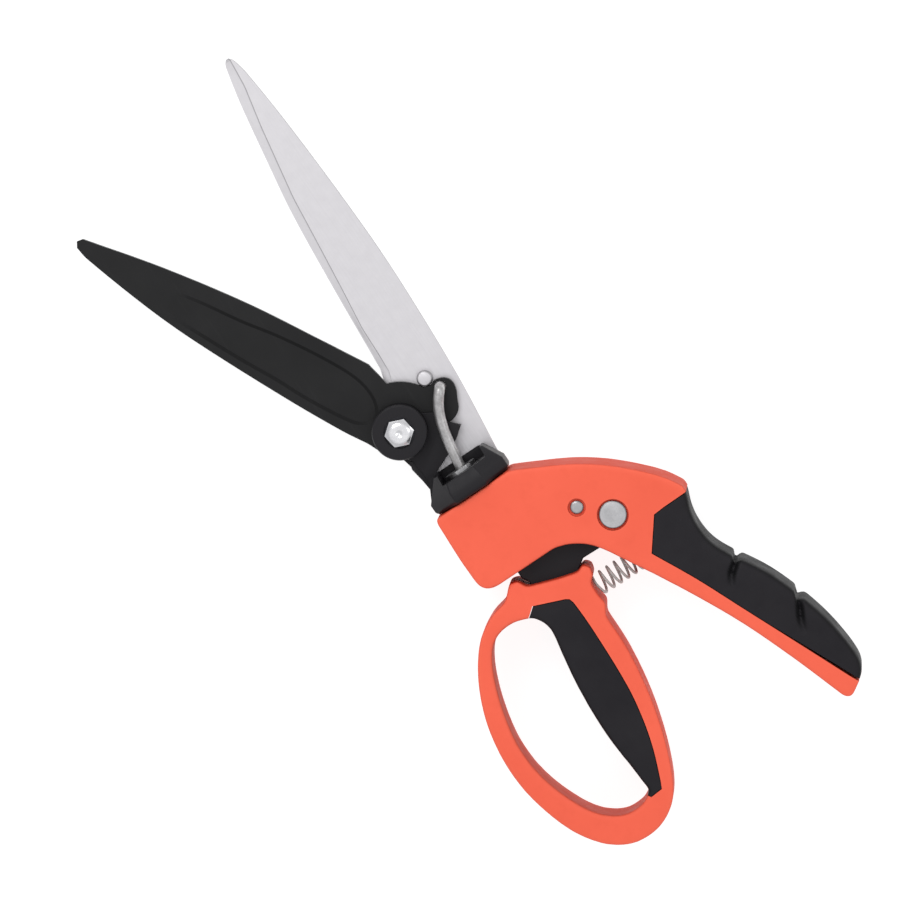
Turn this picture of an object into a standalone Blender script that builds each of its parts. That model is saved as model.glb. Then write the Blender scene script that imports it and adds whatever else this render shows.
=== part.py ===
"""Grass shears with a swivelling head, a sprung loop lever and a wire link.

The tool lies on its side: +Z points up through both handles, +X runs along the swivel axis towards
the blade tips, and +Y points to the side of the finger loop. The origin is the middle of the
collar's lowest flat, which the tool rests on. Lengths are given in millimetres and turned into
metres where a mesh or curve is made. The part functions measure X from the joint between collar and
handle, and heights from the tool's mid-plane, which holds the swivel axis; place() does the rest.
"""

import math

import bmesh
import bpy
from mathutils import Matrix, Vector

MM = 0.001
GAP = 0.3                    # play between pieces that touch
BEYOND = 30.0                # cutters reach this far, past every face
NAME = "grass_shears"

# Swivelling head.
COLLAR_FLATS = 33.6          # across the collar's eight flats
COLLAR_LENGTH = 13.4
COLLAR_CHAMFER = 3.0
COLLAR_BACK = 1.6            # where the flats begin, after the rear chamfer
WINDOW_FLOOR = 0.5           # the window's floor over the tang
WINDOW_DEPTH = 4.2           # open front of the collar, where the link comes out
BOLT_RADIUS = 3.0
BOLT_FLATS = 10.0
BOLT_HEAD_HEIGHT = 4.2
BOLT_HEAD_ROOM = 0.93        # round the head's corners in its sunk seat
BOSS_RADIUS = 10.8
BOSS_TOP = 3.4
COUNTERBORE_DEPTH = 3.2
WASHER_THICK = 1.2
NUT_HEIGHT = 4.8
NUT_WALL = 2.9               # round the nut's corners in the rear boss
ARM_TOP = -2.6
ARM_THICK = 2.3
REAR_ARM_THICK = 3.0
SLEEVE_RADIUS = 5.6
SLEEVE_BORE = 4.6
SLEEVE_FLANGE = 6.6
SLEEVE_FLANGE_THICK = 1.4
SLEEVE_NUT_FLATS = 15.0
SLEEVE_NUT_THICK = 4.5
WAVE_WASHER_THICK = 1.0
WAVE_WASHER_RADIUS = 8.4

# Blades.
BLADE_THICK = 2.5
BLADE_GAP = 0.3
BLADE_SWING = 34.0           # degrees, from wide open to shut
FIXED_REACH = 156.0          # from the blade pivot to the fixed blade's tip
MOVING_REACH = 144.6
TANG_PIN_RADIUS = 1.8
TANG_PIN_OVER = 2.0          # above the fixed blade
TANG_PIN_SUNK = 1.5          # below the collar's flat
STOP_RIVET_RADIUS = 2.9
STOP_RIVET_SHANK = 2.2

# Link.
ROD_RADIUS = 2.1
SPOOL_RADIUS = 5.2
SPOOL_NECK = 2.8
SPOOL_GROOVE = 6.2
SPOOL_FLANGE = 1.4

# Handle.
HANDLE_HALF = 14.0           # half the handle's thickness
FRONT_WALL = 9.0
EDGE_ROUND = 3.5
TONGUE_HALF = 5.0
PIN_RADIUS = 3.0
PIN_HEAD_RADIUS = 5.4
STOP_PIN_RADIUS = 1.8
STOP_HEAD_RADIUS = 2.6
PIN_HEAD_THICK = 1.3
STOP_HEAD_THICK = 0.9
HEAD_SUNK = 0.6              # pin heads lie this far below the handle's face
PIN_RECESS = 2.2
STOP_RECESS = 1.8
NUT_ROOM_RADIUS = 9.2
NUT_ROOM_BACK = 18.0

# Lever.
LEVER_HALF = 6.0
LOOP_HALF = 11.0
FORK_WIDTH = 3.0
BUSH_WALL = 1.2
SQUEEZE = 18.5               # degrees
RIB_HALF = 4.0
LOOP_PIN_RADIUS = 1.5
LOOP_PIN_TOP = 8.0

# Return spring.
SPRING_RADIUS = 4.1          # to the middle of the wire
SPRING_WIRE = 0.6
SPRING_TURNS = 7.5
SPRING_POST_RADIUS = 2.7
SPRING_POST_HALF = 3.2

# Axes, as X and Y on the mid-plane.
PIVOT = (35.0, 11.2)         # the blades
LEVER_AXIS = (-36.5, -40.0)
STOP_PIN = (-26.4, -30.1)
FORK = (-21.6, 0.0)          # where the lever's fork meets the spool
EAR = (40.6, -11.2)          # where the rod enters the moving blade
SPRING_FOOT = (-56.7, -17.7)
SPRING_TOP = (-57.2, -41.0)
STOP_RIVET = (46.5, -7.8)
TANG_PINS = ((6.6, -10.4), (6.6, 7.6))
LOOP_PINS = ((-50.6, -13.2), (-47.4, -2.4))

MID = COLLAR_FLATS / 2
FLAT_MIDDLE = (COLLAR_BACK + COLLAR_LENGTH - COLLAR_CHAMFER) / 2
HOME = Vector((-FLAT_MIDDLE, 0, MID)) * MM
MOVING_TOP = ARM_TOP - ARM_THICK - GAP
FIXED_TOP = MOVING_TOP - BLADE_THICK - BLADE_GAP
REAR_TOP = FIXED_TOP - BLADE_THICK - GAP


# Collections, axes and materials.

def clear_scene():
    for ob in list(bpy.data.objects):
        bpy.data.objects.remove(ob, do_unlink=True)


def collection(name):
    made = bpy.data.collections.new(name)
    bpy.context.scene.collection.children.link(made)
    return made


clear_scene()
PARTS = collection(NAME)
CUTTERS = collection("cutters")


def axis_empty(name, x, y):
    empty = bpy.data.objects.new(name, None)
    empty.location = Vector((x, y, 0)) * MM + HOME
    PARTS.objects.link(empty)
    return empty


def material(name, rgb, roughness, metallic=0.0):
    mat = bpy.data.materials.new(name)
    mat.use_nodes = True
    shader = mat.node_tree.nodes["Principled BSDF"]
    shader.inputs["Base Color"].default_value = (*rgb, 1.0)
    shader.inputs["Roughness"].default_value = roughness
    shader.inputs["Metallic"].default_value = metallic
    return mat


# Outlines: lists of (x, y), with smooth runs drawn through a few points.

def smooth(points, steps=5):
    """A curve through the points, as a list; its tangents follow the neighbouring points."""
    knots = [Vector(p) for p in points]
    last = len(knots) - 1
    tangents = []
    for i, knot in enumerate(knots):
        before, after = knots[max(i - 1, 0)], knots[min(i + 1, last)]
        span = (knot - before).length + (after - knot).length
        tangents.append((after - before) / span)
    path = []
    for i in range(last):
        a, b = knots[i], knots[i + 1]
        length = (b - a).length
        for k in range(steps):
            t = k / steps
            path.append(a * (2 * t**3 - 3 * t**2 + 1) + b * (3 * t**2 - 2 * t**3)
                        + tangents[i] * length * (t**3 - 2 * t**2 + t)
                        + tangents[i + 1] * length * (t**3 - t**2))
    path.append(knots[last])
    return [tuple(p) for p in path]


def arc(centre, radius, start, end, steps=12):
    """Points of an arc, by its angles in degrees."""
    turns = [math.radians(start + (end - start) * k / steps) for k in range(steps + 1)]
    return [(centre[0] + radius * math.cos(a), centre[1] + radius * math.sin(a)) for a in turns]


def beside(path, distance):
    """The path moved sideways, to its left when distance is positive."""
    moved = []
    for i, point in enumerate(path):
        before = Vector(path[max(i - 1, 0)])
        after = Vector(path[min(i + 1, len(path) - 1)])
        along = (after - before).normalized()
        moved.append((point[0] - along.y * distance, point[1] + along.x * distance))
    return moved


def grown(outline, distance):
    """A closed outline moved outwards by a distance, with sharp corners."""
    count = len(outline)
    area = sum(outline[i - 1][0] * outline[i][1] - outline[i][0] * outline[i - 1][1] for i in range(count))
    side = math.copysign(distance, area)
    moved = []
    for i, point in enumerate(outline):
        here = Vector(point)
        arrive = (here - Vector(outline[i - 1])).normalized()
        leave = (Vector(outline[(i + 1) % count]) - here).normalized()
        normal = Vector((arrive.y + leave.y, -arrive.x - leave.x))
        moved.append(tuple(here + normal * side / max(1 + arrive.dot(leave), 0.3)))
    return moved


def turned_about(points, centre, degrees):
    turn = Matrix.Rotation(math.radians(degrees), 2)
    middle = Vector(centre)
    return [tuple(middle + turn @ (Vector(p) - middle)) for p in points]


def from_axis(centre, points):
    return [(centre[0] + x, centre[1] + y) for x, y in points]


# Solids.

def place(ob, home):
    ob.location += HOME
    home.objects.link(ob)
    return ob


def mesh_object(name, bm, home):
    bmesh.ops.recalc_face_normals(bm, faces=bm.faces)
    mesh = bpy.data.meshes.new(name)
    bm.to_mesh(mesh)
    bm.free()
    return place(bpy.data.objects.new(name, mesh), home)


def plate(name, outline, low, high, home=PARTS):
    """A flat piece: a filled 2D curve extruded between two heights, made a mesh with clean caps."""
    curve = bpy.data.curves.new(name, "CURVE")
    curve.dimensions = "2D"
    curve.fill_mode = "BOTH"
    curve.extrude = (high - low) / 2 * MM
    spline = curve.splines.new("POLY")
    spline.points.add(len(outline) - 1)
    for point, (x, y) in zip(spline.points, outline):
        point.co = (x * MM, y * MM, 0, 1)
    spline.use_cyclic_u = True
    drawn = bpy.data.objects.new(name + "_curve", curve)
    drawn.location.z = (high + low) / 2 * MM
    bpy.context.scene.collection.objects.link(drawn)
    bpy.context.view_layer.update()
    ready = drawn.evaluated_get(bpy.context.evaluated_depsgraph_get())
    flat = bpy.data.meshes.new_from_object(ready)
    flat.transform(drawn.matrix_world)
    bpy.data.objects.remove(drawn, do_unlink=True)
    bm = bmesh.new()
    bm.from_mesh(flat)
    bmesh.ops.remove_doubles(bm, verts=bm.verts, dist=1e-6)
    bmesh.ops.dissolve_limit(bm, angle_limit=math.radians(1), verts=bm.verts, edges=bm.edges)
    bpy.data.meshes.remove(flat)
    return mesh_object(name, bm, home)


def lathe(name, profile, base, along="Z", home=PARTS, sides=24, turn=0.0):
    """A turned piece. The profile is (radius, height) pairs, outer side from top to bottom."""
    bm = bmesh.new()
    spots = [bm.verts.new((r * MM, 0, h * MM)) for r, h in profile]
    ring = spots + [spots[0]] if profile[0][0] > 0 and profile[-1][0] > 0 else spots
    for a, b in zip(ring, ring[1:]):
        bm.edges.new((a, b))
    mesh = bpy.data.meshes.new(name)
    bm.to_mesh(mesh)
    bm.free()
    ob = bpy.data.objects.new(name, mesh)
    screw = ob.modifiers.new("turn", "SCREW")
    screw.steps = sides
    screw.render_steps = sides
    screw.use_merge_vertices = True
    screw.merge_threshold = 1e-6
    lean = Matrix.Rotation(math.radians(90), 4, "Y") if along == "X" else Matrix.Identity(4)
    spin = Matrix.Rotation(math.radians(turn), 4, "Z")
    ob.matrix_world = Matrix.Translation(Vector(base) * MM) @ lean @ spin
    return place(ob, home)


def bore(name, radius, low, high):
    """The cutter for a round hole along the swivel's axis."""
    profile = [(0, high), (radius, high), (radius, low), (0, low)]
    return lathe(name, profile, (0, 0, 0), "X", CUTTERS)


def block(name, low, high, home=PARTS):
    bm = bmesh.new()
    bmesh.ops.create_cube(bm, size=1)
    size = [(b - a) * MM for a, b in zip(low, high)]
    middle = Vector([(a + b) / 2 * MM for a, b in zip(low, high)])
    bmesh.ops.transform(bm, matrix=Matrix.Translation(middle) @ Matrix.Diagonal((*size, 1)), verts=bm.verts)
    return mesh_object(name, bm, home)


def rod(name, radius, x, y, low, high, home=CUTTERS, sides=24):
    """A plain cylinder along Z."""
    bm = bmesh.new()
    bmesh.ops.create_cone(bm, cap_ends=True, segments=sides, radius1=radius * MM, radius2=radius * MM,
                          depth=(high - low) * MM)
    ob = mesh_object(name, bm, home)
    ob.location += Vector((x, y, (high + low) / 2)) * MM
    return ob


def stepped_hole(name, spot, *steps):
    """A round cutter with a wide top: first step (radius, low, high), then (radius, low) for the rest."""
    (wide, seat, top), *rest = steps
    profile = [(0, top), (wide, top), (wide, seat)]
    for radius, low in rest:
        profile += [(radius, seat), (radius, low)]
        seat = low
    return lathe(name, profile + [(0, seat)], (*spot, 0), home=CUTTERS, turn=4)


def hexagon_corner(flats):
    return flats / 2 / math.cos(math.radians(30))


def hexagon(flats, turn=0.0):
    return arc((0, 0), hexagon_corner(flats), turn, turn + 300, steps=5)


def combine(ob, tool, operation):
    step = ob.modifiers.new(tool.name, "BOOLEAN")
    step.operation = operation
    step.solver = "EXACT"
    step.object = tool
    tool.hide_render = True
    tool.display_type = "WIRE"


def cut(ob, *tools):
    for tool in tools:
        combine(ob, tool, "DIFFERENCE")


def join(ob, *tools):
    for tool in tools:
        combine(ob, tool, "UNION")


def soften(ob, width, segments=2):
    bevel = ob.modifiers.new("soft_edges", "BEVEL")
    bevel.width = width * MM
    bevel.segments = segments
    bevel.limit_method = "ANGLE"
    bevel.angle_limit = math.radians(40)
    return ob


def finish(ob, mat, parent):
    """Gives a finished piece its material, smooth faces and its parent axis."""
    if ob.type == "MESH":
        ob.data.shade_smooth()
        ob.data.set_sharp_from_angle(angle=math.radians(35))
    ob.data.materials.append(mat)
    bpy.context.view_layer.update()
    world = ob.matrix_world.copy()
    ob.parent = parent
    ob.matrix_parent_inverse = parent.matrix_world.inverted()
    ob.matrix_world = world
    return ob


# Axes.

MID_PLANE = axis_empty("mid_plane", 0, 0)
SWIVEL = axis_empty("swivel_axis", 0, 0)
LEVER = axis_empty("lever_axis", *LEVER_AXIS)
BLADE = axis_empty("blade_axis", *PIVOT)
LINK = axis_empty("link_axis", *EAR)

# Materials.
ORANGE = material("orange_nylon", (0.93, 0.16, 0.07), 0.42)
SOFT_BLACK = material("soft_black", (0.03, 0.027, 0.033), 0.7)
BLACK_NYLON = material("black_nylon", (0.045, 0.038, 0.05), 0.45)
BLACK_COAT = material("black_coat", (0.03, 0.03, 0.03), 0.4)
BLADE_STEEL = material("blade_steel", (0.72, 0.72, 0.73), 0.3, 1.0)
ZINC = material("zinc", (0.75, 0.75, 0.76), 0.28, 1.0)
BRONZE = material("bronze", (0.55, 0.38, 0.2), 0.35, 1.0)


# Handle.

GRIP_SEAM = smooth([(-45.2, -52.0), (-51.0, -46.6), (-57.7, -43.4), (-75.0, -52.2), (-94.6, -60.9),
                    (-122.0, -72.6), (-138.5, -79.4)])
HANDLE_UNDER = smooth([(-144.6, -74.2), (-122.3, -66.6), (-101.0, -58.4), (-85.5, -51.2), (-70.0, -43.2),
                       (-56.4, -35.6), (-42.2, -27.0), (-36.9, -20.2), (-34.6, -14.0)])
HANDLE_TOP = smooth([(0.0, -16.4), (-4.2, -24.6), (-11.0, -37.2), (-17.6, -46.6), (-25.7, -55.6),
                     (-35.3, -64.2), (-42.6, -68.6)])
GRIP_TOP = smooth([(-45.3, -68.4), (-50.0, -66.2), (-55.8, -64.8), (-61.5, -64.6), (-67.6, -65.7),
                   (-74.0, -68.6), (-80.5, -72.6), (-88.0, -76.7), (-95.5, -79.8), (-104.0, -82.6),
                   (-112.0, -84.8), (-120.0, -86.3), (-130.0, -87.2), (-137.0, -86.9), (-140.8, -84.8),
                   (-142.6, -82.4)])


TONGUE = [*reversed(beside(GRIP_SEAM, -2.5)[3:-4]),
          *smooth([(-50.5, -58.5), (-60.0, -57.8), (-76.0, -63.4), (-95.0, -73.2), (-124.0, -80.4)], 4)]


def handle_body():
    outline = [(0.0, 17.9), *smooth([(0.0, 17.9), (-18.0, 18.7), (-27.0, 18.6)], 3)[1:],
               *arc((-28.5, 12.6), 6.0, 90, 180, 6)]
    outline += list(reversed(HANDLE_UNDER))
    outline += [(-146.2, -76.6), (-142.6, -80.6)]
    outline += list(reversed(GRIP_SEAM)) + [(-44.6, -58.0), (-44.4, -67.8)]
    outline += list(reversed(HANDLE_TOP))
    body = soften(plate("handle_body", outline, -HANDLE_HALF, HANDLE_HALF), EDGE_ROUND)
    join(body, plate("tongue", TONGUE, -TONGUE_HALF, TONGUE_HALF, CUTTERS))
    x, y = LEVER_AXIS
    slot = LEVER_HALF + 1.0
    cavity = [(-15.5, -10.5), (-15.5, 10.5), (-46.0, 10.5), (-54.0, -14.0), (-52.0, -31.0),
              *arc((x, y), 10.5, 165, 300, 10), (-23.8, -41.0), (-21.0, -30.0), (-18.5, -18.0)]
    cut(body,
        plate("lever_cavity", cavity, -slot, slot, CUTTERS),
        bore("nut_room", NUT_ROOM_RADIUS, -NUT_ROOM_BACK, -FRONT_WALL),
        bore("sleeve_hole", SLEEVE_RADIUS + GAP, -FRONT_WALL - 3, 5),
        stepped_hole("pin_hole", LEVER_AXIS, (PIN_HEAD_RADIUS + 2 * GAP, HANDLE_HALF - PIN_RECESS, BEYOND),
                     (PIN_RADIUS + GAP, PIN_RECESS - HANDLE_HALF), (PIN_HEAD_RADIUS + 2 * GAP, -BEYOND)),
        stepped_hole("stop_hole", STOP_PIN, (STOP_HEAD_RADIUS + 2 * GAP, HANDLE_HALF - STOP_RECESS, BEYOND),
                     (STOP_PIN_RADIUS + GAP, STOP_RECESS - HANDLE_HALF),
                     (STOP_HEAD_RADIUS + 2 * GAP, -BEYOND)),
        spring_room("spring_seat", SPRING_RADIUS + SPRING_WIRE + 0.5))
    finish(body, ORANGE, MID_PLANE)


def spring_frame():
    """A matrix that stands a Z-long shape on the spring's foot, pointing at its top."""
    foot, top = Vector((*SPRING_FOOT, 0)), Vector((*SPRING_TOP, 0))
    along = top - foot
    turn = Vector((0, 0, 1)).rotation_difference(along).to_matrix().to_4x4()
    return Matrix.Translation(foot * MM) @ turn, along.length


def spring_room(name, radius):
    """The pocket in the handle that holds the spring's upper end."""
    frame, length = spring_frame()
    profile = [(0, length + 0.4), (radius, length + 0.4), (radius, length - 12), (0, length - 12)]
    pocket = lathe(name, profile, (0, 0, 0), home=CUTTERS, sides=20)
    pocket.matrix_world = Matrix.Translation(HOME) @ frame
    return pocket


def palm_grip():
    seam = beside(GRIP_SEAM, GAP)
    outline = [(-45.5, -53.0), (-45.0, -58.0), (-44.8, -67.6)] + GRIP_TOP + list(reversed(seam))[:-1]
    grip = soften(plate("palm_grip", outline, -HANDLE_HALF, HANDLE_HALF), EDGE_ROUND)
    cut(grip, plate("tongue_room", grown(TONGUE, GAP), -TONGUE_HALF - GAP, TONGUE_HALF + GAP, CUTTERS))
    finish(grip, SOFT_BLACK, MID_PLANE)


def headed_pin(name, x, y, shank, head, thick, tail):
    """A rivet with a flat head on the upper face and a clinched tail on the lower one."""
    top = HANDLE_HALF - HEAD_SUNK
    profile = [(0, top), (head - 0.4, top), (head, top - 0.4), (head, top - thick), (shank, top - thick),
               (shank, thick - top), (tail, thick - top), (tail, 0.4 - top), (tail - 0.4, -top), (0, -top)]
    return lathe(name, profile, (x, y, 0))


def lever_pins():
    pin = headed_pin("lever_pivot_pin", *LEVER_AXIS, PIN_RADIUS, PIN_HEAD_RADIUS, PIN_HEAD_THICK,
                     PIN_HEAD_RADIUS - 1.0)
    finish(pin, ZINC, MID_PLANE)
    stop = headed_pin("lever_stop_pin", *STOP_PIN, STOP_PIN_RADIUS, STOP_HEAD_RADIUS, STOP_HEAD_THICK,
                      STOP_HEAD_RADIUS)
    finish(stop, ZINC, MID_PLANE)


def wave_washer():
    front = -FRONT_WALL - GAP
    back = front - WAVE_WASHER_THICK
    inner = SLEEVE_RADIUS + GAP
    profile = [(inner, front), (WAVE_WASHER_RADIUS, front), (WAVE_WASHER_RADIUS, back), (inner, back)]
    finish(lathe("wave_washer", profile, (0, 0, 0), "X"), ZINC, MID_PLANE)


# Lever and finger loop.

LOOP_OUTER = smooth([(-41.5, 13.6), (-43.2, 21.2), (-49.0, 30.6), (-60.9, 39.6), (-75.5, 46.0),
                     (-90.3, 49.0), (-104.0, 49.2), (-118.0, 46.6), (-131.0, 41.8), (-141.0, 34.6),
                     (-146.6, 26.0), (-147.6, 16.4), (-144.6, 7.8), (-139.0, 1.6), (-128.8, -3.9),
                     (-114.1, -9.2), (-98.8, -13.0), (-82.0, -15.3), (-67.4, -15.6)])
HOLE_EDGE = smooth([(-52.0, 9.6), (-50.0, 16.0), (-50.8, 23.6), (-55.0, 28.8), (-64.2, 34.0), (-77.0, 38.4),
                    (-91.0, 41.0), (-104.0, 40.4), (-117.0, 36.8), (-129.0, 30.6), (-135.4, 22.4),
                    (-135.9, 14.0), (-133.6, 9.4)])
PAD_SEAM = smooth([(-49.2, 4.0), (-52.6, -5.4), (-57.0, -8.0), (-70.0, -8.4), (-94.6, -7.2), (-109.0, -4.8),
                   (-121.1, -1.4), (-133.6, 3.4)])
PAD_FACE = smooth([(-133.1, 8.8), (-120.0, 9.6), (-108.0, 10.4), (-96.0, 10.1), (-82.0, 8.8), (-70.0, 6.8),
                   (-61.0, 5.2), (-56.6, 5.9), (-52.9, 8.2)])


TENON = [(-44.6, -20.4), (-47.0, -17.0), (-55.0, -14.0), (-51.4, -3.0), (-47.8, 2.6), (-40.2, 2.2),
         (-38.0, 3.7)]
PAD_RIB = [*beside(PAD_SEAM, 1.5)[11:-4],
           *smooth([(-120.0, 4.4), (-108.0, 4.6), (-92.0, 3.6), (-76.0, 1.8), (-60.0, -0.4)], 4)]


def lever_frame():
    x, y = LEVER_AXIS
    along = Vector((math.sin(math.radians(SQUEEZE / 2)), math.cos(math.radians(SQUEEZE / 2))))
    across = Vector((along.y, -along.x)) * FORK_WIDTH / 2
    fork = Vector(FORK)
    tip, root = fork + along * 5.0, fork - along * 9.0
    outline = [tuple(tip - across), tuple(tip + across), tuple(root + across), (-24.6, -20.0),
               (-28.3, -27.6), (-28.6, -37.0), *arc((x, y), 8.5, -10, -190, 12), (-45.2, -36.0),
               (-44.9, -29.0), *TENON, (-30.6, 3.6), (-29.4, -6.0), tuple(root - across)]
    frame = soften(plate("lever_frame", outline, -LEVER_HALF, LEVER_HALF), 0.8, 1)
    mouth = SPOOL_NECK + 1.1
    cut(frame,
        rod("bush_hole", PIN_RADIUS + GAP + BUSH_WALL + GAP, x, y, -BEYOND, BEYOND),
        block("fork_mouth", (-28.6, -9.5, -mouth), (-10, 20, mouth), CUTTERS),
        *loop_pin_holes("frame", GAP))
    finish(frame, BLACK_NYLON, LEVER)


def loop_pin_holes(tag, play):
    radius, top = LOOP_PIN_RADIUS + play, LOOP_PIN_TOP + GAP
    return [rod(f"{tag}_pin_hole_{i}", radius, px, py, -BEYOND, top, sides=16)
            for i, (px, py) in enumerate(LOOP_PINS)]


def loop_pins():
    for name, (x, y) in zip(("loop_pin_upper", "loop_pin_lower"), LOOP_PINS):
        finish(rod(name, LOOP_PIN_RADIUS, x, y, 0.6 - LOOP_HALF, LOOP_PIN_TOP, PARTS, 16), ZINC, LEVER)


def lever_bush():
    inner = PIN_RADIUS + GAP
    outer = inner + BUSH_WALL
    profile = [(inner, LEVER_HALF), (outer, LEVER_HALF), (outer, -LEVER_HALF), (inner, -LEVER_HALF)]
    finish(lathe("lever_bush", profile, (*LEVER_AXIS, 0)), BRONZE, LEVER)


def finger_loop():
    lip = [(-63.4, -18.4), (-60.0, -17.6), (-53.6, -17.8), (-51.8, -20.4), (-48.4, -21.2), (-46.0, -19.0),
           (-47.6, -16.2), (-45.4, -8.4), (-41.2, 3.6), (-37.2, 5.2), (-36.6, 8.6)]
    rest = list(reversed(PAD_SEAM))
    hole = HOLE_EDGE + rest
    loop = plate("finger_loop", LOOP_OUTER + lip, -LOOP_HALF, LOOP_HALF)
    soften(loop, 2.5)
    cut(loop, plate("loop_hole", hole, -BEYOND, BEYOND, CUTTERS))
    join(loop, plate("pad_rib", PAD_RIB, -RIB_HALF, RIB_HALF, CUTTERS))
    post = rod("spring_post", SPRING_POST_RADIUS, 0, 0, -SPRING_POST_HALF, SPRING_POST_HALF, sides=16)
    post.matrix_world = Matrix.Translation(HOME) @ spring_frame()[0]
    join(loop, post)
    half = LEVER_HALF + GAP
    socket = grown([(-30.0, 4.0), (-30.0, -24.0), (-44.6, -24.0), *TENON], GAP)
    cut(loop, plate("frame_socket", socket, -half, half, CUTTERS), *loop_pin_holes("loop", GAP))
    finish(loop, ORANGE, LEVER)


def finger_pad():
    seam = [(-50.1, 4.6)] + beside(PAD_SEAM, -GAP)[1:-1] + [(-133.3, 3.7)]
    pad = soften(plate("finger_pad", seam + PAD_FACE, -LOOP_HALF, LOOP_HALF), 2.2)
    cut(pad, plate("rib_room", grown(PAD_RIB, GAP), -RIB_HALF - GAP, RIB_HALF + GAP, CUTTERS))
    finish(pad, SOFT_BLACK, LEVER)


def return_spring():
    frame, length = spring_frame()
    low, high = 0.4 + SPRING_WIRE, length - SPRING_WIRE
    count = int(SPRING_TURNS * 12)
    curve = bpy.data.curves.new("return_spring", "CURVE")
    curve.dimensions = "3D"
    curve.bevel_depth = SPRING_WIRE * MM
    curve.bevel_resolution = 2
    curve.use_fill_caps = True
    spline = curve.splines.new("POLY")
    spline.points.add(count)
    for k, point in enumerate(spline.points):
        share = k / count
        angle = 2 * math.pi * SPRING_TURNS * share
        ends = min(share, 1 - share) * SPRING_TURNS
        rise = share if ends > 1 else share + math.copysign((1 - ends) ** 2 * 0.04, 0.5 - share)
        height = low + (high - low) * min(max(rise - 0.02 * math.copysign(1, rise - 0.5), 0), 1)
        ring = Vector((math.cos(angle), math.sin(angle))) * SPRING_RADIUS * MM
        point.co = (*ring, height * MM, 1)
    spring = place(bpy.data.objects.new("return_spring", curve), PARTS)
    spring.matrix_world = Matrix.Translation(HOME) @ frame
    finish(spring, ZINC, LEVER)


# Swivelling head.

def bolt_seat_radius():
    """The sunk seat clears the corners of the bolt's head."""
    return hexagon_corner(BOLT_FLATS) + BOLT_HEAD_ROOM


def swivel_head():
    x, y = PIVOT
    radius = COLLAR_FLATS / 2 / math.cos(math.radians(22.5))
    front = COLLAR_LENGTH
    collar = [(0, front), (radius - COLLAR_CHAMFER, front), (radius, front - COLLAR_CHAMFER),
              (radius, COLLAR_BACK), (radius - 1.2, GAP), (0, GAP)]
    head = lathe("swivel_head", collar, (0, 0, 0), "X", sides=8, turn=22.5)
    arm = [(24.0, -9.7), (27.8, -6.1), (33.9, -3.6), (36.6, 0.9), (38.0, 11.0), (30.0, 19.0), (25.0, 15.2),
           (22.4, 13.8), (16.2, 13.2), (8.0, 13.4), (8.0, 8.4), (14.2, 8.2), (17.1, 1.2), (20.4, -5.0)]
    web = [(7.0, 11.8), (7.0, 14.2), (14.0, 14.9), (20.0, 15.9), (23.4, 15.0), (22.0, 13.3), (16.0, 12.4)]
    rear = [(8.4, -12.0), (8.4, 14.8), (14.2, 15.4), (20.6, 16.4), (29.0, 18.4), (36.0, 12.0), (38.0, 2.6),
            (26.0, -2.0), (18.0, -9.0)]
    rear_low = REAR_TOP - REAR_ARM_THICK
    join(head,
         plate("front_arm", arm, ARM_TOP - ARM_THICK, ARM_TOP, CUTTERS),
         rod("boss", BOSS_RADIUS, x, y, ARM_TOP - ARM_THICK, BOSS_TOP),
         plate("rear_arm", rear, rear_low, REAR_TOP, CUTTERS),
         rod("rear_boss", hexagon_corner(BOLT_FLATS + 2 * GAP) + NUT_WALL, x, y, rear_low, REAR_TOP),
         plate("side_web", web, rear_low + 0.5, ARM_TOP - 0.5, CUTTERS))
    seat = BOSS_TOP - COUNTERBORE_DEPTH
    nut_pocket = from_axis(PIVOT, hexagon(BOLT_FLATS + 2 * GAP, 10))
    side_chamfer = [(4.0, 17.6), (4.0, 25.0), (20.0, 25.0), (20.0, 4.0), (14.2, 9.0)]
    window = front - WINDOW_DEPTH
    tang_low, tang_high = FIXED_TOP - BLADE_THICK - GAP, FIXED_TOP + GAP
    cut(head,
        stepped_hole("bolt_bore", PIVOT, (bolt_seat_radius(), seat, BEYOND), (BOLT_RADIUS + GAP, -BEYOND)),
        plate("nut_pocket", nut_pocket, -BEYOND, REAR_TOP + 1, CUTTERS),
        block("window", (window, -11.6, tang_high + WINDOW_FLOOR), (front + 4, 8.0, BEYOND), CUTTERS),
        plate("side_chamfer", side_chamfer, ARM_TOP + 0.2, BEYOND, CUTTERS),
        block("tang_slot", (2.0, -16.0, tang_low), (front + 3, 11.4, tang_high), CUTTERS),
        bore("flange_room", SLEEVE_FLANGE + GAP, window - GAP, front + 1),
        bore("sleeve_room", SLEEVE_RADIUS + GAP, -5, window),
        *tang_pin_tools("head", GAP))
    finish(head, BLACK_NYLON, SWIVEL)


def tang_pin_tools(tag, play):
    radius, top = TANG_PIN_RADIUS + play, FIXED_TOP + TANG_PIN_OVER + GAP
    return [rod(f"{tag}_tang_hole_{i}", radius, px, py, -BEYOND, top, sides=16)
            for i, (px, py) in enumerate(TANG_PINS)]


def tang_pins():
    low, high = TANG_PIN_SUNK - MID, FIXED_TOP + TANG_PIN_OVER
    for name, (x, y) in zip(("tang_pin_upper", "tang_pin_lower"), TANG_PINS):
        finish(rod(name, TANG_PIN_RADIUS, x, y, low, high, PARTS, 16), ZINC, SWIVEL)


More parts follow.
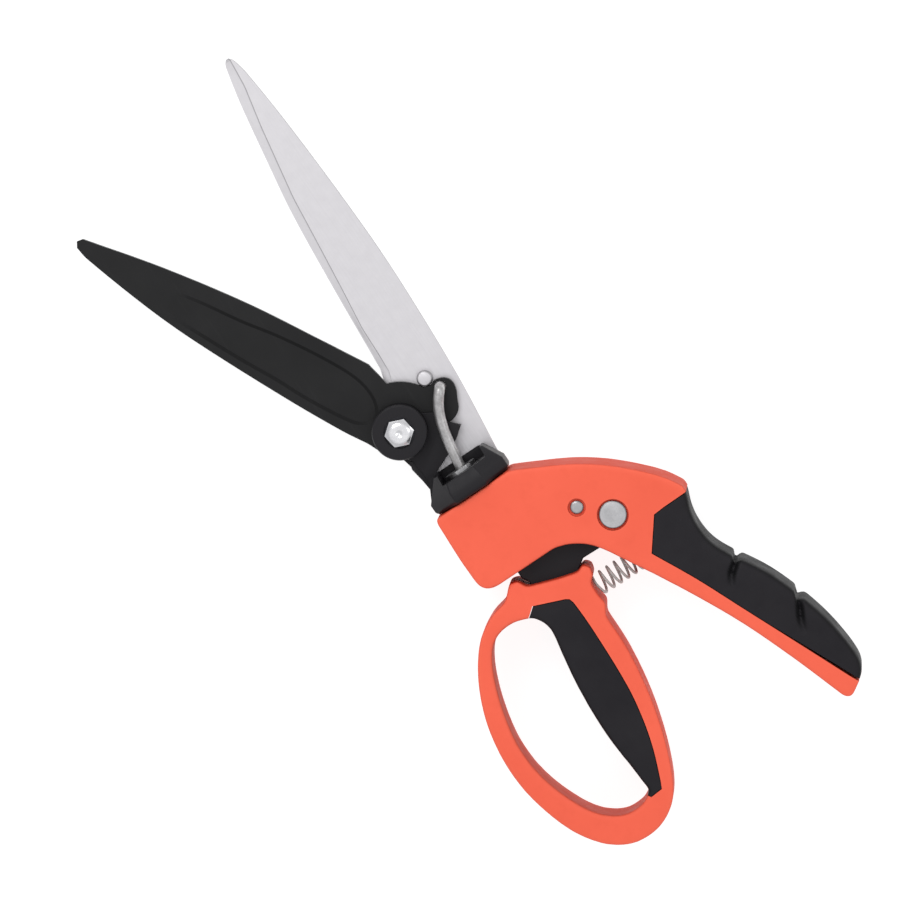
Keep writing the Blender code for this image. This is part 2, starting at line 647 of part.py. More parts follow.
def swivel_sleeve():
    front = COLLAR_LENGTH - WINDOW_DEPTH + SLEEVE_FLANGE_THICK
    back = -FRONT_WALL - 2 * GAP - WAVE_WASHER_THICK - GAP - SLEEVE_NUT_THICK - 0.8
    step = front - SLEEVE_FLANGE_THICK
    profile = [(SLEEVE_BORE, front), (SLEEVE_FLANGE, front), (SLEEVE_FLANGE, step), (SLEEVE_RADIUS, step),
               (SLEEVE_RADIUS, back), (SLEEVE_BORE, back)]
    finish(lathe("swivel_sleeve", profile, (0, 0, 0), "X"), ZINC, SWIVEL)
    top = -FRONT_WALL - 2 * GAP - WAVE_WASHER_THICK
    nut = plate("swivel_nut", hexagon(SLEEVE_NUT_FLATS, 30), -SLEEVE_NUT_THICK / 2, SLEEVE_NUT_THICK / 2)
    nut.matrix_world = (Matrix.Translation(HOME + Vector((top - SLEEVE_NUT_THICK / 2, 0, 0)) * MM)
                        @ Matrix.Rotation(math.radians(90), 4, "Y"))
    cut(nut, bore("nut_bore", SLEEVE_RADIUS + GAP, -BEYOND, BEYOND))
    finish(nut, ZINC, SWIVEL)


def fixed_blade():
    x, y = PIVOT
    reach = x + FIXED_REACH
    edge = smooth([(reach - 1.6, -12.2), (reach - 17.0, -8.8), (151.0, -4.9), (128.1, -1.3), (93.0, 2.0),
                   (58.5, 4.6)])
    spine = smooth([(8.0, -15.2), (40.9, -18.8), (82.0, -21.0), (109.4, -21.2), (153.6, -19.6),
                    (reach - 8.5, -17.4), (reach - 1.4, -16.0)])
    outline = [(2.4, -11.0), (2.4, 10.9)] + [(14.0, 10.9), (24.0, 12.0)] + arc(PIVOT, 10.4, 150, -10, 10)
    outline += list(reversed(edge)) + [(reach, -13.6)] + list(reversed(spine)) + [(5.5, -15.2)]
    blade = plate("fixed_blade", outline, FIXED_TOP - BLADE_THICK, FIXED_TOP)
    cut(blade,
        rod("fixed_eye", BOLT_RADIUS + GAP, x, y, -BEYOND, BEYOND),
        rod("stop_rivet_hole", STOP_RIVET_SHANK + GAP, *STOP_RIVET, -BEYOND, BEYOND, sides=20),
        *tang_pin_tools("tang", GAP))
    finish(blade, BLADE_STEEL, SWIVEL)


def blade_stop_rivet():
    low = FIXED_TOP - BLADE_THICK
    top = MOVING_TOP - 0.2
    head = STOP_RIVET_RADIUS
    profile = [(0, top), (head - 0.5, top), (head, top - 0.5), (head, FIXED_TOP + 0.1),
               (STOP_RIVET_SHANK, FIXED_TOP + 0.1), (STOP_RIVET_SHANK, low - 0.2), (head, low - 0.2),
               (head - 0.5, low - 1.1), (0, low - 1.1)]
    finish(lathe("blade_stop_rivet", profile, (*STOP_RIVET, 0), sides=24), BLADE_STEEL, SWIVEL)


def pivot_fastening():
    x, y = PIVOT
    seat = BOSS_TOP - COUNTERBORE_DEPTH + GAP
    edge = bolt_seat_radius() - 0.4
    washer = [(BOLT_RADIUS + GAP, seat + WASHER_THICK), (edge, seat + WASHER_THICK), (edge, seat),
              (BOLT_RADIUS + GAP, seat)]
    finish(lathe("bolt_washer", washer, (x, y, 0)), ZINC, SWIVEL)
    low = seat + WASHER_THICK + GAP
    nut_top = REAR_TOP + 0.1
    bolt = plate("pivot_bolt", from_axis(PIVOT, hexagon(BOLT_FLATS, 8)), low, low + BOLT_HEAD_HEIGHT)
    corner = hexagon_corner(BOLT_FLATS)
    high = low + BOLT_HEAD_HEIGHT
    dome = [(0, high + 3), (BOLT_FLATS, high + 3), (BOLT_FLATS, high - 2.6), (corner, high - 1.6),
            (BOLT_FLATS / 2 - 0.6, high), (0, high + 0.4)]
    cut(bolt, lathe("bolt_chamfer", dome, (x, y, 0), home=CUTTERS))
    join(bolt, rod("bolt_shank", BOLT_RADIUS, x, y, nut_top - NUT_HEIGHT + 0.2, low + 1.5))
    finish(bolt, ZINC, SWIVEL)
    nut = plate("pivot_nut", from_axis(PIVOT, hexagon(BOLT_FLATS, 10)), nut_top - NUT_HEIGHT, nut_top - GAP)
    cut(nut, rod("nut_thread", BOLT_RADIUS + GAP, x, y, -BEYOND, BEYOND))
    finish(nut, ZINC, SWIVEL)


# Moving blade and link.

def moving_blade():
    """Drawn shut, relative to its pivot, then swung open."""
    reach = MOVING_REACH
    edge = smooth([(22.8, -17.0), (42.3, -16.9), (75.3, -16.4), (110.4, -13.6), (reach - 1.6, -9.2)])
    back = smooth([(reach - 1.2, -5.2), (138.1, -3.2), (107.7, 3.0), (85.0, 6.1), (45.3, 9.4), (20.0, 10.6),
                   (9.0, 10.4)])
    notch = arc((0, 0), 18.9, -91, -46, 8)
    ear = [(-2.2, -21.0), (-2.7, -23.6), (-5.4, -26.0), (-8.6, -26.0), (-11.6, -23.6), (-14.4, -17.6),
           (-11.4, -9.0)]
    outline = arc((0, 0), 11.4, 95, 215, 12) + list(reversed(ear)) + notch + [(17.4, -15.2)] + edge
    outline += [(reach, -7.4)] + back
    x, y = PIVOT
    blade = plate("moving_blade", turned_about(from_axis(PIVOT, outline), PIVOT, BLADE_SWING - 5.6),
                  MOVING_TOP - BLADE_THICK, MOVING_TOP)
    cut(blade,
        rod("moving_eye", BOLT_RADIUS + GAP + BUSH_WALL + GAP, x, y, -BEYOND, BEYOND),
        rod("ear_hole", ROD_RADIUS + GAP, *EAR, -BEYOND, BEYOND, sides=24))
    finish(blade, BLACK_COAT, BLADE)
    inner = BOLT_RADIUS + GAP
    outer = inner + BUSH_WALL
    low = MOVING_TOP - BLADE_THICK
    bush = [(inner, MOVING_TOP), (outer, MOVING_TOP), (outer, low), (inner, low)]
    finish(lathe("blade_bush", bush, (x, y, 0)), BRONZE, BLADE)


def link_rod():
    ear_x, ear_y = EAR
    foot = MOVING_TOP - BLADE_THICK + 0.2
    bend = [(ear_x, ear_y, -3.4), (ear_x - 0.2, ear_y + 0.2, -1.6), (ear_x - 1.0, ear_y + 0.8, -0.4),
            (ear_x - 2.4, ear_y + 2.0, 0)]
    run = [(35.2, -7.0, 0), (31.0, -4.9, 0), (26.5, -3.4, 0), (20.0, -2.0, 0), (15.0, -1.2, 0),
           (10.0, -0.5, 0), (5.0, 0, 0)]
    path = [(ear_x, ear_y, foot)] + smooth(bend + run, 3) + [(FORK[0] - 4.0, 0, 0)]
    curve = bpy.data.curves.new("link_rod", "CURVE")
    curve.dimensions = "3D"
    curve.bevel_depth = ROD_RADIUS * MM
    curve.bevel_resolution = 3
    curve.use_fill_caps = True
    spline = curve.splines.new("POLY")
    spline.points.add(len(path) - 1)
    for point, spot in zip(spline.points, path):
        point.co = (*(Vector(spot) * MM), 1)
    finish(place(bpy.data.objects.new("link_rod", curve), PARTS), ZINC, LINK)


def link_spool():
    half = SPOOL_GROOVE / 2
    bore = ROD_RADIUS + GAP
    profile = [(bore, half + SPOOL_FLANGE), (SPOOL_RADIUS, half + SPOOL_FLANGE), (SPOOL_RADIUS, half),
               (SPOOL_NECK, half), (SPOOL_NECK, -half), (SPOOL_RADIUS, -half),
               (SPOOL_RADIUS, -half - SPOOL_FLANGE), (bore, -half - SPOOL_FLANGE)]
    finish(lathe("link_spool", profile, (*FORK, 0), "X"), ZINC, LINK)


handle_body()
palm_grip()
lever_pins()
wave_washer()
lever_frame()
loop_pins()
lever_bush()
finger_loop()
finger_pad()
return_spring()
swivel_head()
tang_pins()
swivel_sleeve()
fixed_blade()
blade_stop_rivet()
pivot_fastening()
moving_blade()
link_rod()
link_spool()
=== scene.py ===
"""Grass shears with a swivelling head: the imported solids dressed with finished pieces."""

import math

import bmesh
import bpy
from mathutils import Matrix, Vector


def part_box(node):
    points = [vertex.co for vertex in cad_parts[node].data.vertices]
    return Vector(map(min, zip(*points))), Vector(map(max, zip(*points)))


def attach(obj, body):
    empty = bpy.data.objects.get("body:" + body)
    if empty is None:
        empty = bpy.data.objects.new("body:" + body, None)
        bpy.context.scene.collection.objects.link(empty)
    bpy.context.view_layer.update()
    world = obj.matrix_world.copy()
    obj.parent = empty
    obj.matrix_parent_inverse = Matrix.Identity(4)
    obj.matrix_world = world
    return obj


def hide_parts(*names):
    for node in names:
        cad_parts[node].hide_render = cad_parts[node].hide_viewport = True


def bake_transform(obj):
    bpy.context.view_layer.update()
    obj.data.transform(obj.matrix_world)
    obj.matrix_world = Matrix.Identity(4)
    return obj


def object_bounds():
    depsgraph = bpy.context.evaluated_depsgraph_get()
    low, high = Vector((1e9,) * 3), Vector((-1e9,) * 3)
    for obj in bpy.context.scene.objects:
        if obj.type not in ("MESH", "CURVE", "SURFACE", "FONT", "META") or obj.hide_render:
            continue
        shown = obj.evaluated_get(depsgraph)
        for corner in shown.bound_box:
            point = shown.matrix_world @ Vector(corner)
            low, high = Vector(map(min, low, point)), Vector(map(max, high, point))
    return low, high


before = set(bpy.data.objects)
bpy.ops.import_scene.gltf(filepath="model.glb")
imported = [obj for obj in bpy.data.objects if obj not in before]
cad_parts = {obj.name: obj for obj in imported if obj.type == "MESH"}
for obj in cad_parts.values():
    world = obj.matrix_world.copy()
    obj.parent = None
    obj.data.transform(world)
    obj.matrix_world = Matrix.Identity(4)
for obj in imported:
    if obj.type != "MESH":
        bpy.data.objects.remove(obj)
cad_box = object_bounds()


# Studio: a long lens looks almost straight down on the tool, which lies on a white table under a
# large soft light, with a second light from the side of the blades.

MM = 0.001
collar_low, collar_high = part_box("swivel_head")
sleeve_low, sleeve_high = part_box("swivel_sleeve")
COLLAR_PLAY = 0.3
HOME = Vector((collar_low.x - COLLAR_PLAY * MM, 0, (sleeve_low.z + sleeve_high.z) / 2))


def spot(x, y, z=0.0):
    """A place in metres, from millimetres ahead of the collar's joint, across, and above the mid-plane."""
    return HOME + Vector((x, y, z)) * MM


VIEW_MIDDLE = spot(18.4, -0.9)
VIEW_BACK = Vector((0.0574, -0.1018, 0.9931)).normalized()
VIEW_UP = Vector((0.8253, -0.5646, 0.0))
VIEW_DISTANCE = 3.0
VIEW_WIDTH = 0.347
SENSOR = 36.0

across = VIEW_UP.cross(VIEW_BACK).normalized()
upward = VIEW_BACK.cross(across)
camera = bpy.data.objects.new("camera", bpy.data.cameras.new("camera"))
camera.data.sensor_width = SENSOR
camera.data.lens = SENSOR * VIEW_DISTANCE / VIEW_WIDTH
camera.matrix_world = Matrix((across, upward, VIEW_BACK)).transposed().to_4x4()
camera.location = VIEW_MIDDLE + VIEW_BACK * VIEW_DISTANCE
bpy.context.scene.collection.objects.link(camera)
bpy.context.scene.camera = camera


def soft_light(name, place, size, power):
    lamp = bpy.data.objects.new(name, bpy.data.lights.new(name, "AREA"))
    lamp.data.shape = "DISK"
    lamp.data.size = size
    lamp.data.energy = power
    lamp.location = VIEW_MIDDLE + across * place[0] + upward * place[1] + VIEW_BACK * place[2]
    lamp.rotation_euler = (VIEW_MIDDLE - lamp.location).to_track_quat("-Z", "Y").to_euler()
    bpy.context.scene.collection.objects.link(lamp)


soft_light("main_light", (-0.55, 0.75, 1.3), 0.9, 5.5)
soft_light("side_light", (0.9, 0.2, 0.9), 0.5, 1.2)

world = bpy.data.worlds.new("studio")
world.use_nodes = True
sky = world.node_tree
sky_place = sky.nodes.new("ShaderNodeTexCoord")
sky_split = sky.nodes.new("ShaderNodeSeparateXYZ")
sky_ramp = sky.nodes.new("ShaderNodeValToRGB")
sky.links.new(sky_place.outputs["Generated"], sky_split.inputs[0])
sky.links.new(sky_split.outputs["Z"], sky_ramp.inputs[0])
sky.links.new(sky_ramp.outputs[0], sky.nodes["Background"].inputs["Color"])
sky_ramp.color_ramp.elements[0].position = 0.0
sky_ramp.color_ramp.elements[0].color = (0.42, 0.42, 0.43, 1)
sky_ramp.color_ramp.elements[1].position = 0.8
sky_ramp.color_ramp.elements[1].color = (0.92, 0.92, 0.93, 1)
sky.nodes["Background"].inputs["Strength"].default_value = 0.95
bpy.context.scene.world = world
bpy.context.scene.view_settings.view_transform = "Standard"

FLOOR_SIDE = 14.0
floor_mesh = bmesh.new()
bmesh.ops.create_grid(floor_mesh, x_segments=1, y_segments=1, size=FLOOR_SIDE / 2)
floor = bpy.data.objects.new("floor", bpy.data.meshes.new("floor"))
floor_mesh.to_mesh(floor.data)
floor_mesh.free()
white = bpy.data.materials.new("white_table")
white.use_nodes = True
white_shader = white.node_tree.nodes["Principled BSDF"]
white_shader.inputs["Base Color"].default_value = (0.3, 0.3, 0.3, 1)
white_shader.inputs["Roughness"].default_value = 0.8
white_shader.inputs["Specular IOR Level"].default_value = 0.1
white_shader.inputs["Emission Color"].default_value = (1, 1, 1, 1)
white_shader.inputs["Emission Strength"].default_value = 0.86
floor.data.materials.append(white)
floor.location.z = cad_box[0][2]
bpy.context.scene.collection.objects.link(floor)


# Handle: the half that stays still in the palm. It is moulded in orange nylon, with a slot for the
# lever, a socket for the return spring and sunk seats for the two pins.

HANDLE_HALF = 14.0
SKIN_VOXEL = 0.00075         # metres
HANDLE_EASE = 12             # rounds of easing, which roll the rims over
WALL_INNER = 7.0
PIN_SEAT, PIN_SEAT_RADIUS = 2.2, 6.1
STOP_SEAT, STOP_SEAT_RADIUS = 1.8, 3.5
SLEEVE_RADIUS = 5.6
NUT_ROOM_RADIUS = 9.2
SOCKET_RADIUS, SOCKET_DEPTH = 5.2, 12
SPRING_PLAY = 0.4            # between the spring's ends and their seats
SEAM_GAP = 0.3               # between the nylon and the rubber beside it
TAIL_SLIT = 0.8              # the rubber stands off the nylon towards the tail
CUT_REACH = 20               # how far a cutter runs above and below the mid-plane
ORANGE = (1.0, 0.156, 0.09)
ORANGE_DEEP = (0.60, 0.052, 0.02)


def smooth(points, steps=8):
    """A curve through the points; its tangents follow the neighbouring points."""
    knots = [Vector(p) for p in points]
    last = len(knots) - 1
    tangents = []
    for i, knot in enumerate(knots):
        before, after = knots[max(i - 1, 0)], knots[min(i + 1, last)]
        tangents.append((after - before) / ((knot - before).length + (after - knot).length))
    path = []
    for i in range(last):
        a, b = knots[i], knots[i + 1]
        length = (b - a).length
        for k in range(steps):
            t = k / steps
            path.append(a * (2 * t**3 - 3 * t**2 + 1) + b * (3 * t**2 - 2 * t**3)
                        + tangents[i] * length * (t**3 - 2 * t**2 + t)
                        + tangents[i + 1] * length * (t**3 - t**2))
    path.append(knots[last])
    return [tuple(p) for p in path]


def arc(centre, radius, start, end, steps=16):
    turns = [math.radians(start + (end - start) * k / steps) for k in range(steps + 1)]
    return [(centre[0] + radius * math.cos(a), centre[1] + radius * math.sin(a)) for a in turns]


def blank(outline, low, high, holes=()):
    """A flat blank sawn to an outline. Returns its mesh, its upper faces and its lower faces."""
    bm = bmesh.new()
    if holes:
        for ring in (outline, *holes):
            verts = [bm.verts.new(spot(x, y, low)) for x, y in ring]
            for a, b in zip(verts, verts[1:] + verts[:1]):
                bm.edges.new((a, b))
        bmesh.ops.triangle_fill(bm, edges=bm.edges, use_beauty=True)
    else:
        bm.faces.new([bm.verts.new(spot(x, y, low)) for x, y in outline])
    lower = list(bm.faces)
    pushed = bmesh.ops.extrude_face_region(bm, geom=lower)["geom"]
    verts = [g for g in pushed if isinstance(g, bmesh.types.BMVert)]
    upper = [g for g in pushed if isinstance(g, bmesh.types.BMFace)]
    bmesh.ops.translate(bm, vec=(0, 0, (high - low) * MM), verts=verts)
    bmesh.ops.recalc_face_normals(bm, faces=bm.faces)
    return bm, upper, lower


def roll_rim(bm, faces, radius, steps=6):
    """Rolls the rim of flat faces over in a quarter round."""
    inside = set(faces)
    rim = [edge for face in faces for edge in face.edges if any(f not in inside for f in edge.link_faces)]
    in_order = list(dict.fromkeys(rim))
    bmesh.ops.bevel(bm, geom=in_order, offset=radius * MM, offset_type="OFFSET", segments=steps,
                    profile=0.5, affect="EDGES", clamp_overlap=True, material=-1)


def slab(outline, low, high, roll=0.0, steps=6, holes=()):
    """A flat piece with both rims rolled over."""
    bm, upper, lower = blank(outline, low, high, holes)
    if roll:
        roll_rim(bm, upper + lower, roll, steps)
    return bm


def turned(profile, centre, along="Z", steps=64, tilt=0.0):
    """A turned piece from (radius, height) pairs; a profile that leaves the axis free is closed."""
    bm = bmesh.new()
    spots = [bm.verts.new((r * MM, 0, h * MM)) for r, h in profile]
    ring = spots + spots[:1] if profile[0][0] > 0 and profile[-1][0] > 0 else spots
    edges = [bm.edges.new(pair) for pair in zip(ring, ring[1:])]
    bmesh.ops.spin(bm, geom=spots + edges, cent=(0, 0, 0), axis=(0, 0, 1), angle=2 * math.pi,
                   steps=steps, use_merge=True)
    bmesh.ops.remove_doubles(bm, verts=bm.verts, dist=1e-7)
    bmesh.ops.recalc_face_normals(bm, faces=bm.faces)
    lean = Matrix.Rotation(math.radians(90), 4, "Y") if along == "X" else Matrix.Identity(4)
    spin = Matrix.Rotation(math.radians(tilt), 4, "Z")
    bmesh.ops.transform(bm, matrix=Matrix.Translation(spot(*centre)) @ lean @ spin, verts=bm.verts)
    return bm


def gather(*meshes):
    """Several bmeshes as one."""
    whole = meshes[0]
    for bm in meshes[1:]:
        part = bpy.data.meshes.new("part")
        bm.to_mesh(part)
        bm.free()
        whole.from_mesh(part)
        bpy.data.meshes.remove(part)
    return whole


def new_object(name, bm):
    mesh = bpy.data.meshes.new(name)
    bm.to_mesh(mesh)
    bm.free()
    ob = bpy.data.objects.new(name, mesh)
    bpy.context.scene.collection.objects.link(ob)
    return ob


def settle(ob):
    """Applies an object's modifiers to its mesh."""
    bpy.context.view_layer.update()
    ready = ob.evaluated_get(bpy.context.evaluated_depsgraph_get())
    mesh = bpy.data.meshes.new_from_object(ready)
    ob.modifiers.clear()
    ob.data = mesh
    return ob


def carve(ob, *tools, operation="DIFFERENCE"):
    """Cuts the tools, given as bmeshes, out of an object."""
    made = [new_object(f"{ob.name}_tool_{i}", bm) for i, bm in enumerate(tools)]
    for tool in made:
        step = ob.modifiers.new(tool.name, "BOOLEAN")
        step.operation = operation
        step.solver = "EXACT"
        step.object = tool
    settle(ob)
    for tool in made:
        bpy.data.objects.remove(tool, do_unlink=True)
    return ob


def mark_steep(ob):
    """Writes how far each face leans, which materials use to paint shade on steep faces."""
    steep = ob.data.attributes.new("steep", "FLOAT", "FACE")
    for value, face in zip(steep.data, ob.data.polygons):
        value.value = 1.0 - abs(face.normal.z)


def dress(ob, mat, body, slot_name, *nodes, sharp=32):
    """Gives a finished piece its surface, its body and the nodes it stands for."""
    mark_steep(ob)
    ob.data.materials.clear()
    ob.data.materials.append(mat)
    ob.data.shade_smooth()
    ob.data.set_sharp_from_angle(angle=math.radians(sharp))
    even = ob.modifiers.new("even_shading", "WEIGHTED_NORMAL")
    even.keep_sharp = True
    even.weight = 60
    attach(ob, body)
    if nodes:
        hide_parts(*nodes)
    return ob


class Finish:
    """A surface: a Principled shader with patterns on object coordinates, in metres."""

    def __init__(self, name, metallic=0.0, roughness=0.5):
        self.mat = bpy.data.materials.new(name)
        self.mat.use_nodes = True
        self.tree = self.mat.node_tree
        self.shader = self.tree.nodes["Principled BSDF"]
        self.shader.inputs["Metallic"].default_value = metallic
        self.shader.inputs["Roughness"].default_value = roughness
        self.place = self.add("ShaderNodeTexCoord").outputs["Object"]

    def add(self, kind, **settings):
        node = self.tree.nodes.new(kind)
        for name, value in settings.items():
            setattr(node, name, value)
        return node

    def link(self, source, target):
        self.tree.links.new(source, target)

    def pattern(self, scale, detail=3.0, stretch=(1, 1, 1), turn=0.0, rough=0.55):
        """Noise, drawn out where stretch is below 1."""
        mapping = self.add("ShaderNodeMapping")
        mapping.inputs["Scale"].default_value = stretch
        mapping.inputs["Rotation"].default_value = (0, 0, math.radians(turn))
        self.link(self.place, mapping.inputs["Vector"])
        noise = self.add("ShaderNodeTexNoise")
        noise.inputs["Scale"].default_value = scale
        noise.inputs["Detail"].default_value = detail
        noise.inputs["Roughness"].default_value = rough
        self.link(mapping.outputs[0], noise.inputs["Vector"])
        return noise.outputs[0]

    def ramp(self, source, low, high, at=(0.35, 0.65)):
        """A blend between two colours or two values as a pattern rises."""
        node = self.add("ShaderNodeValToRGB")
        for stop, colour, place in zip(node.color_ramp.elements, (low, high), at):
            stop.position = place
            stop.color = (*colour, 1) if isinstance(colour, tuple) else (colour, colour, colour, 1)
        self.link(source, node.inputs[0])
        return node.outputs[0]

    def mix(self, share, a, b, kind="MIX"):
        node = self.add("ShaderNodeMix", data_type="RGBA", blend_type=kind)
        for value, socket in ((share, node.inputs[0]), (a, node.inputs[6]), (b, node.inputs[7])):
            if isinstance(value, bpy.types.NodeSocket):
                self.link(value, socket)
            elif isinstance(value, tuple):
                socket.default_value = (*value, 1)
            else:
                socket.default_value = value
        return node.outputs[2]

    def attribute(self, name):
        return self.add("ShaderNodeAttribute", attribute_name=name).outputs["Fac"]

    def colour(self, source):
        self.link(source, self.shader.inputs["Base Color"])

    def roughness(self, source):
        self.link(source, self.shader.inputs["Roughness"])

    def bump(self, *layers):
        """Relief from (pattern, depth in metres) pairs."""
        normal = None
        for source, depth in layers:
            node = self.add("ShaderNodeBump")
            node.inputs["Strength"].default_value = 1.0
            node.inputs["Distance"].default_value = depth
            self.link(source, node.inputs["Height"])
            if normal:
                self.link(normal, node.inputs["Normal"])
            normal = node.outputs[0]
        self.link(normal, self.shader.inputs["Normal"])


def moulded(name, colour, deep, grain, roughness, shine=0.42):
    """Moulded plastic: faint flow clouds, a spark-eroded grain, rubbed edges with a painted highlight on
    them, and painted shade on steep sides.
    """
    finish = Finish(name)
    clouds = finish.pattern(28, 3)
    flow = finish.pattern(160, 4, rough=0.65)
    base = finish.mix(finish.ramp(clouds, 0.0, 0.16, (0.3, 0.75)), colour, deep)
    base = finish.mix(finish.ramp(flow, 0.0, 0.09, (0.5, 0.8)), base, deep)
    # Convex edges paler: partly rubbed wear, partly a painted edge highlight.
    edges = finish.add("ShaderNodeNewGeometry").outputs["Pointiness"]
    rubbed_edge_highlight = tuple(min(c * 1.12 + 0.012, 1) for c in colour)
    base = finish.mix(finish.ramp(edges, 0.0, 0.45, (0.505, 0.56)), base, rubbed_edge_highlight)
    # Painted shade: steep sides darken towards the deep colour.
    base = finish.mix(finish.ramp(finish.attribute("steep"), 0.0, 0.85, (0.35, 0.95)), base, deep)
    finish.colour(base)
    finish.roughness(finish.ramp(finish.pattern(90, 3), roughness - 0.05, roughness + 0.07))
    finish.bump((finish.pattern(2600, 2), grain), (finish.pattern(420, 2), grain * 0.8))
    finish.shader.inputs["Specular IOR Level"].default_value = shine
    return finish.mat


orange_nylon = moulded("orange_nylon", ORANGE, ORANGE_DEEP, 0.000012, 0.55, 0.1)

GRIP_SEAM = [(-45.2, -53.2), (-57.2, -43.9)] + smooth([(-58.0, -44.3), (-75.0, -52.7), (-94.6, -61.2),
                                                       (-122.0, -73.1), (-138.5, -80.2)])
HANDLE_UNDER = smooth([(-144.6, -74.2), (-122.3, -66.6), (-101.0, -58.4), (-85.5, -51.2), (-70.0, -43.2),
                       (-56.4, -35.6), (-42.2, -27.0), (-36.9, -20.2), (-34.6, -14.0)])
HANDLE_TOP = smooth([(0.0, -16.4), (-4.2, -24.6), (-11.0, -37.2), (-17.6, -46.6), (-25.7, -55.6),
                     (-35.3, -64.2), (-42.6, -68.6)])
LEVER_AXIS = (-36.5, -40.0)
STOP_PIN = (-26.4, -30.1)
SPRING_FOOT = (-56.7, -17.7)
SPRING_TOP = (-57.2, -41.0)

GRIP_TOP = smooth([(-45.3, -68.4), (-50.0, -66.2), (-55.8, -64.8), (-61.5, -64.6), (-67.6, -65.7),
                   (-74.0, -68.6), (-80.5, -72.6), (-88.0, -76.7), (-95.5, -79.8), (-104.0, -82.6),
                   (-112.0, -84.8), (-120.0, -86.3), (-130.0, -87.2), (-137.0, -86.9), (-140.8, -84.8),
                   (-142.6, -82.4)], 4)
handle_outline = [(0.0, 17.9), *smooth([(0.0, 17.9), (-18.0, 18.7), (-27.0, 18.6)], 5)[1:],
                  *arc((-28.5, 12.6), 6.0, 90, 180, 10), *reversed(HANDLE_UNDER), (-146.2, -76.6),
                  *reversed(GRIP_TOP), *reversed(HANDLE_TOP)]
lever_slot = [(-15.5, -10.5), (-15.5, 10.5), (-46.0, 10.5), (-54.0, -14.0), (-52.0, -31.0),
              *arc(LEVER_AXIS, 10.5, 165, 300, 24), (-23.8, -41.0), (-21.0, -30.0), (-18.5, -18.0)]


def sunk_seat(centre, radius, depth):
    """The tool that sinks a pin's seat from both faces, with a slightly broken rim."""
    top, floor_at = HANDLE_HALF + 2, HANDLE_HALF - depth
    profile = [(0, top), (radius + 2.1, top), (radius, HANDLE_HALF - 0.1), (radius, floor_at),
               (0, floor_at)]
    return gather(turned(profile, (*centre, 0)), turned([(r, -h) for r, h in profile], (*centre, 0)))


def on_spring(bm):
    """Moves a mesh from the vertical on to the spring's own axis."""
    foot, top = spot(*SPRING_FOOT), spot(*SPRING_TOP)
    turn = Vector((0, 0, 1)).rotation_difference(top - foot).to_matrix().to_4x4()
    frame_to_axis = Matrix.Translation(foot) @ turn @ Matrix.Translation(-spot(0, 0))
    bmesh.ops.transform(bm, matrix=frame_to_axis, verts=bm.verts)
    return bm


def ease(ob, rounds):
    """Relaxes a mesh evenly, which rolls its rims over."""
    bm = bmesh.new()
    bm.from_mesh(ob.data)
    for _ in range(rounds):
        bmesh.ops.smooth_vert(bm, verts=bm.verts, factor=0.5, use_axis_x=True, use_axis_y=True,
                              use_axis_z=True)
    bm.to_mesh(ob.data)
    bm.free()
    return ob


def even_skin(ob, rounds):
    """Remeshes a piece to even quads and eases them."""
    remesh = ob.modifiers.new("even", "REMESH")
    remesh.mode = "VOXEL"
    remesh.voxel_size = SKIN_VOXEL
    settle(ob)
    return ease(ob, rounds)


def beside(path, distance):
    """The path moved sideways, to its left when distance is positive."""
    moved = []
    for i, point in enumerate(path):
        along = (Vector(path[min(i + 1, len(path) - 1)]) - Vector(path[max(i - 1, 0)])).normalized()
        moved.append((point[0] - along.y * distance, point[1] + along.x * distance))
    return moved


def grip_side(gap):
    """Everything on the grip's side of its seam."""
    slit = TAIL_SLIT if gap else 0
    opened = [(x, y - slit * min(1.0, max(0.0, (-x - 104) / 30))) for x, y in GRIP_SEAM]
    return ([(-44.9 - gap, -58.0), (-44.5 - gap, -100.0), (-160.0, -100.0), (-160.0, -90.0),
             (-146.6, -84.0 - gap * 2)] + list(reversed(beside(opened, gap))))


handle = even_skin(new_object("handle_casting", slab(handle_outline, -HANDLE_HALF, HANDLE_HALF)),
                   HANDLE_EASE)
grip = new_object("palm_cushion", bmesh.new())
grip.data = handle.data.copy()
spring_length = (Vector(SPRING_TOP) - Vector(SPRING_FOOT)).length
carve(handle,
      slab(grip_side(0.0), -CUT_REACH, CUT_REACH),
      slab(lever_slot, -WALL_INNER, WALL_INNER),
      turned([(0, 5), (SLEEVE_RADIUS + 0.3, 5), (SLEEVE_RADIUS + 0.3, -12), (0, -12)], (0, 0, 0), "X"),
      turned([(0, -9), (NUT_ROOM_RADIUS, -9), (NUT_ROOM_RADIUS, -18), (0, -18)], (0, 0, 0), "X", tilt=3),
      sunk_seat(LEVER_AXIS, PIN_SEAT_RADIUS, PIN_SEAT),
      sunk_seat(STOP_PIN, STOP_SEAT_RADIUS, STOP_SEAT),
      on_spring(turned([(0, spring_length + SPRING_PLAY), (SOCKET_RADIUS, spring_length + SPRING_PLAY),
                        (SOCKET_RADIUS, spring_length - SOCKET_DEPTH), (0, spring_length - SOCKET_DEPTH)],
                       (0, 0, 0), tilt=5)))
dress(handle, orange_nylon, "root", "orange_nylon", "handle_body")


# Palm grip: soft black elastomer moulded over the handle's back. Two curved creases part it into
# three swells for the heel of the hand.

CREASES = (((-75.6, -71.6), (-78.4, -68.2), (-81.2, -64.7), (-86.1, -61.8)),
           ((-99.2, -83.8), (-105.0, -80.2), (-110.2, -77.2), (-116.0, -75.2)))
CREASE_DEPTH = 2.4
CREASE_WIDTH = 1.15
GRIP_EASE = 30


